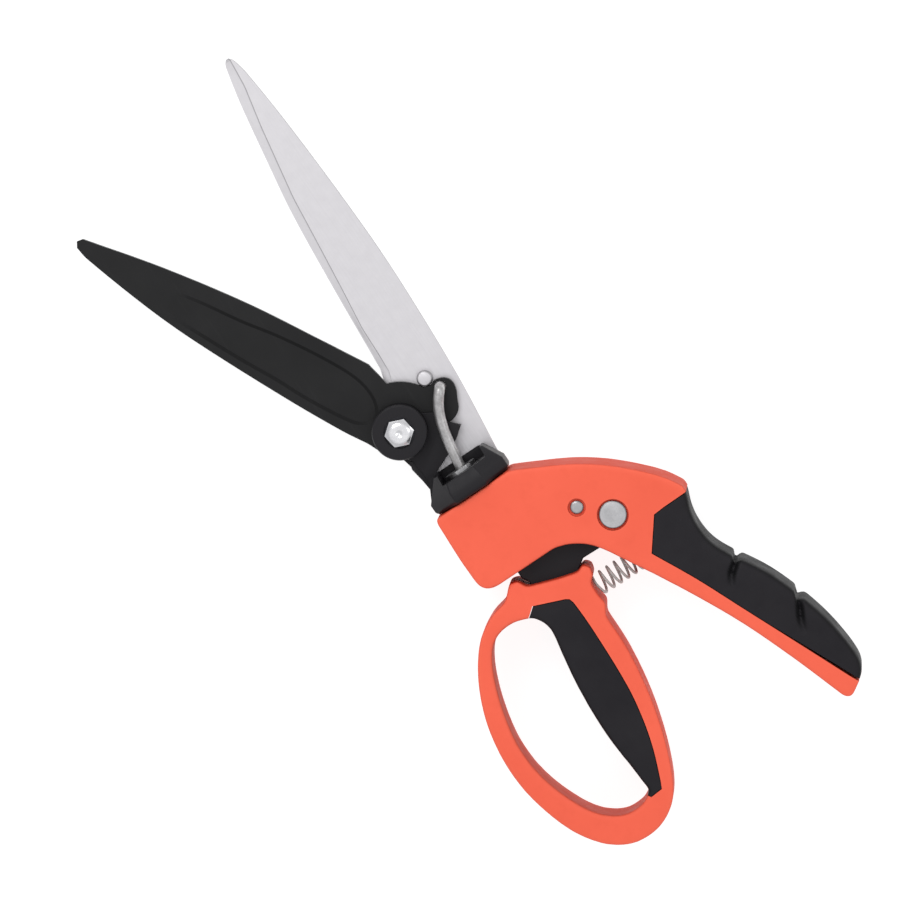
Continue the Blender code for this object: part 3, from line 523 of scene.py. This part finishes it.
def elastomer(name):
    """Soft black elastomer: a fine stipple, a dull bloom and paler, rubbed high spots."""
    finish = Finish(name)
    bloom = finish.pattern(45, 4)
    base = finish.mix(finish.ramp(bloom, 0.0, 1.0, (0.3, 0.75)),
                      (0.012, 0.0108, 0.0138), (0.0165, 0.015, 0.018))
    dust = finish.ramp(finish.pattern(900, 3, rough=0.7), 0.0, 0.3, (0.62, 0.8))
    base = finish.mix(dust, base, (0.035, 0.033, 0.037))
    # Painted shade: steep faces and crease walls darken to near black.
    shade = finish.ramp(finish.attribute("steep"), 0.0, 0.85, (0.02, 0.35))
    base = finish.mix(shade, base, (0.002, 0.002, 0.0025))
    finish.colour(base)
    finish.roughness(finish.ramp(finish.pattern(120, 3), 0.52, 0.66))
    finish.bump((finish.pattern(1900, 2), 0.00004), (finish.pattern(260, 2), 0.00002))
    finish.shader.inputs["Specular IOR Level"].default_value = 0.2
    return finish.mat


soft_black = elastomer("soft_black")


def nearness(point, path):
    """Millimetres from a place to a path drawn on the mid-plane, and how far along the path that is."""
    best = (1e9, 0.0)
    here = Vector((point.x, point.y)) - HOME.xy
    here /= MM
    for i, (a, b) in enumerate(zip(path, path[1:])):
        a, b = Vector(a), Vector(b)
        t = max(0.0, min(1.0, (here - a).dot(b - a) / (b - a).length_squared))
        best = min(best, ((here - a - (b - a) * t).length, (i + t) / (len(path) - 1)))
    return best


ease(grip, GRIP_EASE)
carve(grip, slab(grip_side(SEAM_GAP), -CUT_REACH, CUT_REACH), operation="INTERSECT")
crease_paths = [smooth(points, 6) for points in CREASES]
skin = bmesh.new()
skin.from_mesh(grip.data)
skin.normal_update()
for vert in skin.verts:
    for path in crease_paths:
        distance, share = nearness(vert.co, path)
        fade = min(1.0, (1.0 - share) * 2.5)
        vert.co -= vert.normal * CREASE_DEPTH * MM * fade * math.exp(-(distance / CREASE_WIDTH) ** 2)
skin.to_mesh(grip.data)
skin.free()
dress(grip, soft_black, "root", "soft_grip", "palm_grip", sharp=60)


# Pins: a flat-headed steel rivet carries the lever and a smaller one stops it. Their heads lie in
# the handle's sunk seats, with their lower ends closed over.

def plated(name, colour, dark, roughness, stretch=(1, 1, 1), turn=0.0, streak=0.000004, metallic=1.0,
           shade_steep_faces=True):
    """Plated or ground steel: soft mottling and fine marks along one way; its steep faces and edges can be
    given painted shade.
    """
    finish = Finish(name, metallic=metallic)
    mottle = finish.ramp(finish.pattern(220, 4, rough=0.6), 0.0, 0.7, (0.35, 0.7))
    marks = finish.pattern(1400, 4, stretch, turn, 0.6)
    base = finish.mix(mottle, colour, dark)
    base = finish.mix(finish.ramp(marks, 0.0, 0.5, (0.45, 0.75)), base, dark)
    # Painted shade: steep faces, such as step walls and chamfers, darken towards a deeper grey.
    deep = tuple(c * 0.45 for c in dark)
    if shade_steep_faces:
        base = finish.mix(finish.ramp(finish.attribute("steep"), 0.0, 0.75, (0.006, 0.09)), base, deep)
    finish.colour(base)
    finish.roughness(finish.ramp(marks, roughness - 0.06, roughness + 0.1, (0.3, 0.7)))
    finish.bump((marks, streak), (finish.pattern(500, 2), 0.000006))
    return finish.mat


zinc = plated("zinc_plate", (0.60, 0.60, 0.61), (0.42, 0.42, 0.43), 0.34)


def centre_of(node):
    low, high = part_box(node)
    return ((low + high) / 2 - HOME) / MM


def rivet(name, node, shank, head, thick, tail):
    """A rivet with a slightly domed head above and a clinched tail below."""
    x, y, _ = centre_of(node)
    low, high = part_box(node)
    top = (high.z - HOME.z) / MM
    profile = [(0, top), (head * 0.6, top - 0.06), (head - 0.5, top - 0.18), (head - 0.12, top - 0.38),
               (head, top - 0.7), (head, top - thick), (shank, top - thick), (shank, thick - top),
               (tail, thick - top), (tail, 0.6 - top), (tail - 0.45, 0.12 - top), (tail * 0.55, -top),
               (tail * 0.45, 0.3 - top), (0, 0.35 - top)]
    dress(new_object(name, turned(profile, (x, y, 0))), zinc, "root", "zinc_steel", node)


rivet("lever_pin", "lever_pivot_pin", 3.0, 5.4, 1.3, 4.4)
rivet("stop_pin", "lever_stop_pin", 1.8, 2.6, 0.9, 2.6)


# Lever frame: black glass-filled nylon. Its eye turns on the lever pin, its tenon is pinned into the
# finger loop and its fork holds the link's spool.

LEVER_HALF = 6.0
SQUEEZE_HALF = 9.25          # half the lever's travel in degrees, which the fork leans by at rest
FORK = (-21.6, 0.0)
FORK_WIDTH = 3.0
SPOOL_ROOM = 3.9             # half the gap between the fork's two tines
BUSH_HOLE = 4.8
black_nylon = moulded("black_nylon", (0.0115, 0.0105, 0.013), (0.0075, 0.007, 0.0086), 0.000014, 0.42,
                      0.2)
TENON = [(-44.6, -20.4), (-47.0, -17.0), (-55.0, -14.0), (-51.4, -3.0), (-47.8, 2.6), (-40.2, 2.2),
         (-38.0, 3.7)]

fork_along = Vector((math.sin(math.radians(SQUEEZE_HALF)), math.cos(math.radians(SQUEEZE_HALF))))
fork_across = Vector((fork_along.y, -fork_along.x)) * FORK_WIDTH / 2
fork_tip, fork_root = Vector(FORK) + fork_along * 5.0, Vector(FORK) - fork_along * 9.0
frame_outline = [tuple(fork_tip - fork_across), tuple(fork_tip + fork_across), tuple(fork_root + fork_across),
                 (-24.6, -20.0), (-28.3, -27.6), (-28.6, -37.0), *arc(LEVER_AXIS, 8.5, -10, -190, 24),
                 (-45.2, -36.0), (-44.9, -29.0), *TENON, (-30.6, 3.6), (-29.4, -6.0),
                 tuple(fork_root - fork_across)]
lever_arm = new_object("lever_arm", slab(frame_outline, -LEVER_HALF, LEVER_HALF, 0.7, 3,
                                         [arc(LEVER_AXIS, BUSH_HOLE, 0, 352.5, 47)]))
fork_gap = slab([(-28.6, -9.5), (-10, -9.5), (-10, 20), (-28.6, 20)], -SPOOL_ROOM, SPOOL_ROOM)
carve(lever_arm, fork_gap)
dress(lever_arm, black_nylon, "lever", "black_nylon", "lever_frame")


# Finger loop: orange nylon, a rounded ring with a square shoulder that takes the lever's tenon.

LOOP_HALF = 11.0
LOOP_EASE = 12
HOLE_STEPS = ((2.5, 0.9), (5.5, 1.7), (8.5, 2.6))     # draught of the ring's inner wall
LOOP_OUTER = smooth([(-41.5, 13.6), (-43.2, 21.2), (-49.0, 30.6), (-60.9, 39.6), (-75.5, 46.0),
                     (-90.3, 49.0), (-104.0, 49.2), (-118.0, 46.6), (-131.0, 41.8), (-141.0, 34.6),
                     (-146.6, 26.0), (-147.6, 16.4), (-144.6, 7.8), (-139.0, 1.6), (-128.8, -3.9),
                     (-114.1, -9.2), (-98.8, -13.0), (-82.0, -15.3), (-67.4, -15.6)], 5)
LOOP_SHOULDER = [(-63.4, -18.4), (-60.0, -17.6), (-53.6, -17.8), (-51.8, -20.4), (-48.4, -21.2),
                 (-46.0, -19.0), (-47.6, -16.2), (-45.4, -8.4), (-41.2, 3.6), (-37.2, 5.2), (-36.6, 8.6)]
HOLE_EDGE = smooth([(-52.0, 9.6), (-50.0, 16.0), (-50.8, 23.6), (-55.0, 28.8), (-64.2, 34.0),
                    (-77.0, 38.4), (-91.0, 41.0), (-104.0, 40.4), (-117.0, 36.8), (-129.0, 30.6),
                    (-135.4, 22.4), (-135.9, 14.0), (-133.6, 9.4)], 5)
PAD_SEAM = [(-48.6, 5.8), (-53.5, -6.4)] + smooth([(-54.4, -7.6), (-56.6, -8.2), (-70.0, -8.4),
                                                   (-94.6, -7.2), (-109.0, -4.8), (-121.1, -1.4),
                                                   (-135.2, 4.2)], 5)
PAD_FACE = smooth([(-133.1, 8.8), (-120.0, 9.6), (-108.0, 10.4), (-96.0, 10.1), (-82.0, 8.8),
                   (-70.0, 6.8), (-61.0, 5.2), (-56.6, 5.9), (-52.9, 8.2)], 5)

loop = new_object("finger_ring", slab(LOOP_OUTER + LOOP_SHOULDER, -LOOP_HALF, LOOP_HALF,
                                      holes=[HOLE_EDGE + PAD_FACE]))
for height, draught in HOLE_STEPS:
    wider = beside(HOLE_EDGE, draught)[2:-2] + [(-120.0, 13.0), (-64.0, 13.0)]
    carve(loop, slab(wider, height, LOOP_HALF + 1), slab(wider, -LOOP_HALF - 1, -height))
even_skin(loop, LOOP_EASE)
pad = new_object("finger_cushion", bmesh.new())
pad.data = loop.data.copy()


def pad_side(gap):
    """Everything on the finger pad's side of its seam."""
    return [(-48.6 - gap, 5.8), *beside(PAD_SEAM, -gap)[1:-1], (-135.2 + gap, 4.4), (-135.6 + gap, 9.6),
            (-120.0, 20.0), (-60.0, 20.0), (-51.4 - gap, 9.4)]


carve(loop, slab(pad_side(0.0), -CUT_REACH, CUT_REACH))
dress(loop, orange_nylon, "lever", "orange_nylon", "finger_loop")


# Finger pad: the same soft elastomer on the loop's inner side, crowned where the fingers pull.

carve(pad, slab(pad_side(SEAM_GAP), -CUT_REACH, CUT_REACH), operation="INTERSECT")
dress(pad, soft_black, "lever", "soft_grip", "finger_pad")


# Return spring: zinc-plated wire coiled between the handle's socket and the finger loop.

SPRING_RADIUS = 4.1
SPRING_WIRE = 0.55
SPRING_TURNS = 6.5


def wire(name, points, radius, roundness=6):
    """A mesh tube along a path of places in metres."""
    curve = bpy.data.curves.new(name, "CURVE")
    curve.dimensions = "3D"
    curve.bevel_depth = radius * MM
    curve.bevel_resolution = roundness
    curve.use_fill_caps = True
    line = curve.splines.new("POLY")
    line.points.add(len(points) - 1)
    for point, place in zip(line.points, points):
        point.co = (*place, 1)
    drawn = bpy.data.objects.new(name + "_line", curve)
    bpy.context.scene.collection.objects.link(drawn)
    bpy.context.view_layer.update()
    mesh = bpy.data.meshes.new_from_object(drawn.evaluated_get(bpy.context.evaluated_depsgraph_get()))
    bpy.data.objects.remove(drawn, do_unlink=True)
    bm = bmesh.new()
    bm.from_mesh(mesh)
    bpy.data.meshes.remove(mesh)
    bmesh.ops.remove_doubles(bm, verts=bm.verts, dist=1e-7)
    return bm


COIL_STEPS = 40              # places a turn
coil = []
coil_count = int(SPRING_TURNS * COIL_STEPS)
for k in range(coil_count + 1):
    share = k / coil_count
    turns_in = min(share, 1 - share) * SPRING_TURNS
    ease = max(0.0, 1 - turns_in) ** 2 * 0.05
    height = share + (-ease if share < 0.5 else ease) * (1 if turns_in < 1 else 0)
    height = (SPRING_PLAY + SPRING_WIRE
              + (spring_length - SPRING_PLAY - 2 * SPRING_WIRE) * min(max(height, 0), 1))
    angle = 2 * math.pi * SPRING_TURNS * share
    coil.append(spot(SPRING_RADIUS * math.cos(angle), SPRING_RADIUS * math.sin(angle), height))
spring = new_object("return_coil", on_spring(wire("return_coil", coil, SPRING_WIRE, 3)))
spring_wire = plated("spring_wire", (0.52, 0.54, 0.52), (0.36, 0.375, 0.36), 0.35, metallic=0.1,
                     shade_steep_faces=False)
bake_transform(spring)
spring.data.materials.append(spring_wire)
spring.data.shade_smooth()
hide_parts("return_spring")


# Swivel head: black nylon. An eight-sided collar turns on the sleeve; an upper arm with a round boss
# and a plain lower arm hold the blades' pivot between them.

PIVOT = centre_of("pivot_bolt").xy
COLLAR_FLATS = (collar_high.z - collar_low.z) / MM
COLLAR_LENGTH = 13.4
COLLAR_BAND = 5.4
COLLAR_SLOPE = 4.6
COLLAR_BACK = 1.6
BOSS_RADIUS, BOSS_TOP = 10.8, 3.4
ARM_TOP, ARM_LOW = -2.6, -4.9
FIXED_TOP, FIXED_LOW = -8.0, -10.5
REAR_TOP, REAR_LOW = -10.8, -13.8
REAR_BOSS_RADIUS = 9.0
BOLT_SEAT_RADIUS, BOLT_SEAT_DEPTH = 6.1, 3.2
BOLT_HOLE = 3.3
SLEEVE_BORE, FLANGE_BORE = 5.9, 6.9
WINDOW_BACK = 9.2

collar_radius = COLLAR_FLATS / 2 / math.cos(math.radians(22.5))
collar = new_object("swivel_collar", turned(
    [(0, COLLAR_LENGTH), (collar_radius - COLLAR_SLOPE, COLLAR_LENGTH),
     (collar_radius, COLLAR_BAND), (collar_radius, COLLAR_BACK),
     (collar_radius - 1.2, COLLAR_PLAY), (0, COLLAR_PLAY)], (0, 0, 0), "X", 8, 22.5))
edge_round = collar.modifiers.new("moulded_edges", "BEVEL")
edge_round.width = 0.5 * MM
edge_round.segments = 3
edge_round.limit_method = "ANGLE"
settle(collar)
front_arm = [(24.0, -9.7), (27.8, -6.1), (33.9, -3.6), (36.6, 0.9), (38.0, 11.0), (30.0, 19.0),
             (25.0, 15.2), (22.4, 13.8), (16.2, 13.2), (8.0, 13.4), (8.0, 8.4), (14.2, 8.2), (17.1, 1.2),
             (20.4, -5.0)]
side_web = [(7.0, 11.8), (7.0, 14.2), (14.0, 14.9), (20.0, 15.9), (23.4, 15.0), (22.0, 13.3),
            (16.0, 12.4)]
rear_arm = [(8.4, -12.0), (8.4, 14.8), (14.2, 15.4), (20.6, 16.4), (29.0, 18.4), (36.0, 12.0),
            (38.0, 2.6), (26.0, -2.0), (18.0, -9.0)]
boss = [(0, BOSS_TOP), (BOSS_RADIUS - 1.0, BOSS_TOP), (BOSS_RADIUS - 0.4, BOSS_TOP - 0.2),
        (BOSS_RADIUS, BOSS_TOP - 0.8), (BOSS_RADIUS, ARM_LOW), (0, ARM_LOW)]
carve(collar,
      slab(front_arm, ARM_LOW, ARM_TOP, 0.35, 2),
      turned(boss, (*PIVOT, 0), steps=96),
      slab(rear_arm, REAR_LOW, REAR_TOP, 0.35, 2),
      turned([(0, REAR_TOP), (REAR_BOSS_RADIUS, REAR_TOP), (REAR_BOSS_RADIUS, REAR_LOW + 0.5),
              (REAR_BOSS_RADIUS - 0.5, REAR_LOW), (0, REAR_LOW)], (*PIVOT, 0)),
      slab(side_web, REAR_LOW + 0.5, ARM_TOP - 0.5), operation="UNION")
side_chamfer = [(4.0, 17.6), (4.0, 25.0), (20.0, 25.0), (20.0, 4.0), (14.2, 9.0)]
bolt_seat = BOSS_TOP - BOLT_SEAT_DEPTH
flange_back = WINDOW_BACK - 0.3
carve(collar,
      turned([(0, CUT_REACH), (BOLT_SEAT_RADIUS, CUT_REACH), (BOLT_SEAT_RADIUS, bolt_seat),
              (BOLT_HOLE, bolt_seat), (BOLT_HOLE, -30), (0, -30)], (*PIVOT, 0), tilt=4),
      slab([(WINDOW_BACK, -11.6), (COLLAR_LENGTH + 0.2, -11.6), (COLLAR_LENGTH + 0.2, 8.0),
            (WINDOW_BACK, 8.0)], FIXED_TOP + 0.8, 30),
      slab(side_chamfer, ARM_TOP + 0.2, 20),
      slab([(2.0, -16.0), (COLLAR_LENGTH + 3, -16.0), (COLLAR_LENGTH + 3, 11.4), (2.0, 11.4)],
           FIXED_LOW - 0.3, FIXED_TOP + 0.3),
      turned([(0, COLLAR_LENGTH + 1), (FLANGE_BORE, COLLAR_LENGTH + 1), (FLANGE_BORE, flange_back),
              (SLEEVE_BORE, flange_back), (SLEEVE_BORE, -5), (0, -5)], (0, 0, 0), "X"))
dress(collar, black_nylon, "head", "black_nylon", "swivel_head")

for node in ("swivel_sleeve", "swivel_nut", "wave_washer", "tang_pin_upper", "tang_pin_lower",
             "loop_pin_upper", "loop_pin_lower", "link_spool", "pivot_nut"):
    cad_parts[node].material_slots[0].material = zinc
bronze = plated("sintered_bronze", (0.55, 0.37, 0.2), (0.4, 0.26, 0.13), 0.42)
for node in ("lever_bush", "blade_bush"):
    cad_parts[node].material_slots[0].material = bronze


# Fixed blade: satin steel plate, ground thinner along its cutting edge. Its tang is pinned inside the
# collar, and a flat rivet on it stops the moving blade.

satin_steel = plated("satin_steel", (0.745, 0.73, 0.75), (0.70, 0.685, 0.705), 0.46, (0.03, 1, 1), -7,
                     0.000002)
STATIONS = 90
STEP_WALL = 0.35


def reading(path, x):
    """The height of a path over x."""
    for a, b in zip(path, path[1:]):
        if min(a[0], b[0]) <= x <= max(a[0], b[0]) and a[0] != b[0]:
            return a[1] + (b[1] - a[1]) * (x - a[0]) / (b[0] - a[0])
    return path[-1][1] if abs(path[-1][0] - x) < abs(path[0][0] - x) else path[0][1]


def loft(rails):
    """Skins a set of rails, each a list of places, and caps the ends."""
    bm = bmesh.new()
    chains = []
    for rail in rails:
        verts = [bm.verts.new(place) for place in rail]
        chains.append([bm.edges.new(pair) for pair in zip(verts, verts[1:])])
    for a, b in zip(chains, chains[1:] + chains[:1]):
        bmesh.ops.bridge_loops(bm, edges=a + b)
    bmesh.ops.holes_fill(bm, edges=[e for e in bm.edges if e.is_boundary], sides=0)
    bmesh.ops.recalc_face_normals(bm, faces=bm.faces)
    return bm


fixed_tip = (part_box("fixed_blade")[1].x - HOME.x) / MM
fixed_edge = [(2.4, 10.9), (14.0, 10.9), (24.0, 12.0), *arc(PIVOT, 10.4, 150, -10, 20),
              *reversed(smooth([(fixed_tip - 1.6, -12.2), (fixed_tip - 17.0, -8.8), (151.0, -4.9),
                                (128.1, -1.3), (93.0, 2.0), (58.5, 4.6)])), (fixed_tip, -13.6)]
fixed_spine = [(2.4, -11.0), (5.5, -15.2),
               *smooth([(8.0, -15.2), (40.9, -18.8), (82.0, -21.0), (109.4, -21.2), (153.6, -19.6),
                        (fixed_tip - 8.5, -17.4), (fixed_tip - 1.4, -16.0)]), (fixed_tip, -14.6)]
fixed_step = [(2.4, 8.9), (24.0, 10.0), (30.0, 14.0), (40.0, 14.0), (46.0, 6.0), (56.5, 2.4), (65.2, 1.9),
              (75.8, 1.6), (92.2, -0.5), (110.7, -2.6), (132.7, -5.0), (147.3, -7.6), (161.9, -10.2),
              (178.6, -13.8), (fixed_tip, -15.0)]
x_low = 2.4
rails = [[] for _ in range(8)]
for k in range(STATIONS + 1):
    x = x_low + (fixed_tip - x_low) * (1 - (1 - k / STATIONS) ** 1.15)
    spine_y, edge_y = reading(fixed_spine, x), reading(fixed_edge, x)
    step_y = min(reading(fixed_step, x), edge_y - 0.3)
    step_y = max(step_y, spine_y + 0.05)
    ground = min(1.0, max(0.0, (x - 46) / 14))
    wall = min(STEP_WALL, (edge_y - step_y) * 0.2)
    for rail, place in zip(rails, ((spine_y, FIXED_LOW), (spine_y, FIXED_TOP), (step_y - wall, FIXED_TOP),
                                   (step_y, FIXED_TOP - 0.14 * ground),
                                   (step_y + wall, FIXED_TOP - 0.2 * ground),
                                   (edge_y - wall, FIXED_TOP - 0.5 * ground),
                                   (edge_y, FIXED_TOP - 0.52 * ground),
                                   (edge_y, FIXED_LOW))):
        rail.append(spot(x, *place))
fixed = new_object("fixed_blade_plate", loft(rails))
dress(fixed, satin_steel, "head", "bright_steel", "fixed_blade", sharp=12)

rivet_x, rivet_y, _ = centre_of("blade_stop_rivet")
rivet_low, rivet_top = [(corner.z - HOME.z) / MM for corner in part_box("blade_stop_rivet")]
stop_rivet = new_object("stop_rivet", turned(
    [(0, rivet_top), (2.4, rivet_top - 0.04), (2.8, rivet_top - 0.2), (3.1, rivet_top - 0.6),
     (3.15, FIXED_TOP + 0.02), (2.2, FIXED_TOP + 0.02), (2.2, FIXED_LOW - 0.05), (2.9, FIXED_LOW - 0.05),
     (2.7, FIXED_LOW - 0.6), (2.1, rivet_low), (0, rivet_low)], (rivet_x, rivet_y, 0)))
dress(stop_rivet, satin_steel, "head", "bright_steel", "blade_stop_rivet")


# Moving blade: steel plate with a black non-stick coating, a pressed panel that stiffens it, and an
# ear for the link.

MOVING_LOW = -7.7
BLADE_THICK = 2.5
EAR = (40.6, -11.2)
EAR_HOLE = 2.4
MOVING_REACH = 144.6
OPEN_TURN = 28.4             # degrees, from the line the blade is drawn on
PANEL_SUNK = 0.9
PANEL_WALL = 1.3


def coated(name):
    """Non-stick coating on steel: near black, a fine orange peel and faint rubbed streaks."""
    finish = Finish(name)
    clouds = finish.ramp(finish.pattern(60, 4), 0.0, 1.0, (0.3, 0.75))
    base = finish.mix(clouds, (0.0105, 0.0105, 0.011), (0.015, 0.015, 0.0155))
    rubs = finish.ramp(finish.pattern(500, 5, (0.05, 1, 1), -30, 0.7), 0.0, 0.35, (0.58, 0.8))
    base = finish.mix(rubs, base, (0.034, 0.034, 0.035))
    # Painted shade: steep faces, such as the pressed panel's walls, darken to near black.
    shade = finish.ramp(finish.attribute("steep"), 0.0, 0.9, (0.04, 0.3))
    base = finish.mix(shade, base, (0.002, 0.002, 0.002))
    finish.colour(base)
    finish.shader.inputs["Specular IOR Level"].default_value = 0.22
    finish.roughness(finish.ramp(finish.pattern(150, 3), 0.36, 0.5))
    finish.bump((finish.pattern(1500, 2), 0.00001), (finish.pattern(300, 2), 0.00001))
    return finish.mat


black_coat = coated("black_coat")


def swung(points):
    """Points drawn about the pivot with the blade shut, swung open."""
    turn = Matrix.Rotation(math.radians(OPEN_TURN), 2)
    return [tuple(PIVOT + turn @ Vector(p)) for p in points]


moving_edge = smooth([(22.8, -17.0), (42.3, -16.9), (75.3, -16.4), (110.4, -13.6),
                      (MOVING_REACH - 1.6, -9.2)])
moving_back = smooth([(MOVING_REACH - 1.2, -5.2), (138.1, -3.2), (107.7, 3.0), (85.0, 6.1), (45.3, 9.4),
                      (20.0, 10.6), (9.0, 10.4)])
ear = smooth([(-2.2, -21.0), (-2.7, -23.6), (-5.4, -26.0), (-8.6, -26.3), (-11.6, -24.2), (-13.8, -21.0),
              (-16.2, -17.2), (-15.6, -12.4), (-11.4, -9.0)], 3)
moving_outline = swung(arc((0, 0), 11.4, 95, 215, 24) + list(reversed(ear))
                       + arc((0, 0), 18.9, -91, -46, 12) + [(17.4, -15.2)] + moving_edge
                       + [(MOVING_REACH, -7.4)] + moving_back)
panel = smooth([(136.0, 60.4), (124.6, 49.9), (104.6, 37.6), (91.6, 28.9), (74.9, 19.4), (61.5, 13.4),
                (52.0, 12.2), (45.6, 14.4), (43.6, 18.6), (46.0, 23.6), (52.6, 28.2), (66.8, 35.6),
                (77.0, 40.0), (91.7, 47.2), (105.9, 53.6), (119.6, 59.6), (130.0, 63.4)], 4)
moving_bm = bmesh.new()
panel_layer = moving_bm.faces.layers.int.new("panel")
rings = []
for ring in (moving_outline, panel, arc(PIVOT, BUSH_HOLE, 0, 352.5, 47), arc(EAR, EAR_HOLE, 0, 345, 23)):
    verts = [moving_bm.verts.new(spot(x, y, MOVING_LOW)) for x, y in ring]
    rings.append([moving_bm.edges.new(pair) for pair in zip(verts, verts[1:] + verts[:1])])
bmesh.ops.triangle_fill(moving_bm, edges=rings[0] + rings[1] + rings[2] + rings[3], use_beauty=True)
pressed = bmesh.ops.triangle_fill(moving_bm, edges=rings[1], use_beauty=True)["geom"]
for face in [g for g in pressed if isinstance(g, bmesh.types.BMFace)]:
    face[panel_layer] = 1
pushed = bmesh.ops.extrude_face_region(moving_bm, geom=list(moving_bm.faces))["geom"]
bmesh.ops.translate(moving_bm, vec=(0, 0, BLADE_THICK * MM),
                    verts=[g for g in pushed if isinstance(g, bmesh.types.BMVert)])
bmesh.ops.recalc_face_normals(moving_bm, faces=moving_bm.faces)
upper = [g for g in pushed if isinstance(g, bmesh.types.BMFace)]
sunk = [face for face in upper if face[panel_layer] == 1]
bmesh.ops.inset_region(moving_bm, faces=sunk, thickness=PANEL_WALL * MM, depth=0, use_even_offset=True)
panel_tip = spot(136.0, 61.5).xy
for vert in {v for face in sunk for v in face.verts}:
    fade = min(1.0, ((vert.co.xy - panel_tip).length / MM - 2) / 26)
    vert.co.z -= PANEL_SUNK * MM * max(0.0, fade)
moving = new_object("moving_blade_plate", moving_bm)
dress(moving, black_coat, "blade", "coated_steel", "moving_blade", sharp=14)


# Pivot fastening: a zinc-plated hexagon bolt with a domed, chamfered head, a blackened washer in the
# boss and a nut in the lower arm.

BOLT_FLATS = 10.0
HEAD_HEIGHT = 4.2
HEAD_TURN = 8                # degrees
SHANK_RADIUS = 3
bolt_bottom, head_top = [(corner.z - HOME.z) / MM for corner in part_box("pivot_bolt")]
corner = BOLT_FLATS / 2 / math.cos(math.radians(30))
hexagon = arc(PIVOT, corner, HEAD_TURN, HEAD_TURN + 300, 5)
bolt = new_object("pivot_bolt_head", slab(hexagon, head_top - HEAD_HEIGHT, head_top))
crown = [(0, head_top - 0.9), (0.5, head_top - 0.75), (1.1, head_top - 0.25), (1.9, head_top - 0.02),
         (3.2, head_top - 0.12), (4.1, head_top - 0.5), (4.55, head_top - 0.95),
         (corner + 0.1, head_top - 1.75), (corner + 3, head_top - 1.75), (corner + 3, head_top + 3),
         (0, head_top + 3)]
carve(bolt, turned(list(reversed(crown)), (*PIVOT, 0), tilt=2))
carve(bolt, turned([(0, head_top - 2.5), (SHANK_RADIUS, head_top - 2.5),
                    (SHANK_RADIUS, bolt_bottom + 0.4), (SHANK_RADIUS - 0.4, bolt_bottom),
                    (0, bolt_bottom)], (*PIVOT, 0), tilt=1), operation="UNION")
bright_zinc = plated("bright_zinc", (0.92, 0.92, 0.93), (0.74, 0.74, 0.77), 0.2, shade_steep_faces=False)
dress(bolt, bright_zinc, "head", "zinc_steel", "pivot_bolt", sharp=28)
blackened = plated("blackened_steel", (0.05, 0.05, 0.055), (0.03, 0.03, 0.033), 0.4)
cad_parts["bolt_washer"].material_slots[0].material = blackened


# Link: a bent steel rod hooked into the moving blade's ear. It passes down the swivel's hollow sleeve
# to the spool that the lever's fork pushes.

ROD_RADIUS = 2.1
rod_foot = MOVING_LOW + 0.2
bend = [(EAR[0], EAR[1], -3.4), (EAR[0] - 0.2, EAR[1] + 0.2, -1.6), (EAR[0] - 1.0, EAR[1] + 0.8, -0.4),
        (EAR[0] - 2.4, EAR[1] + 2.0, 0)]
run = [(35.2, -7.0, 0), (31.0, -4.9, 0), (26.5, -3.4, 0), (20.0, -2.0, 0), (15.0, -1.2, 0),
       (10.0, -0.5, 0), (5.0, 0, 0)]
rod_path = [(*EAR, rod_foot), (*EAR, -5), *smooth(bend + run, 8), (FORK[0] - 4.0, 0, 0)]
rod = new_object("link_wire", wire("link_wire", [spot(*place) for place in rod_path], ROD_RADIUS, 10))
drawn_steel = plated("drawn_steel", (0.60, 0.59, 0.59), (0.24, 0.235, 0.235), 0.38, metallic=0.8,
                     shade_steep_faces=False)
dress(rod, drawn_steel, "link", "zinc_steel", "link_rod", sharp=50)
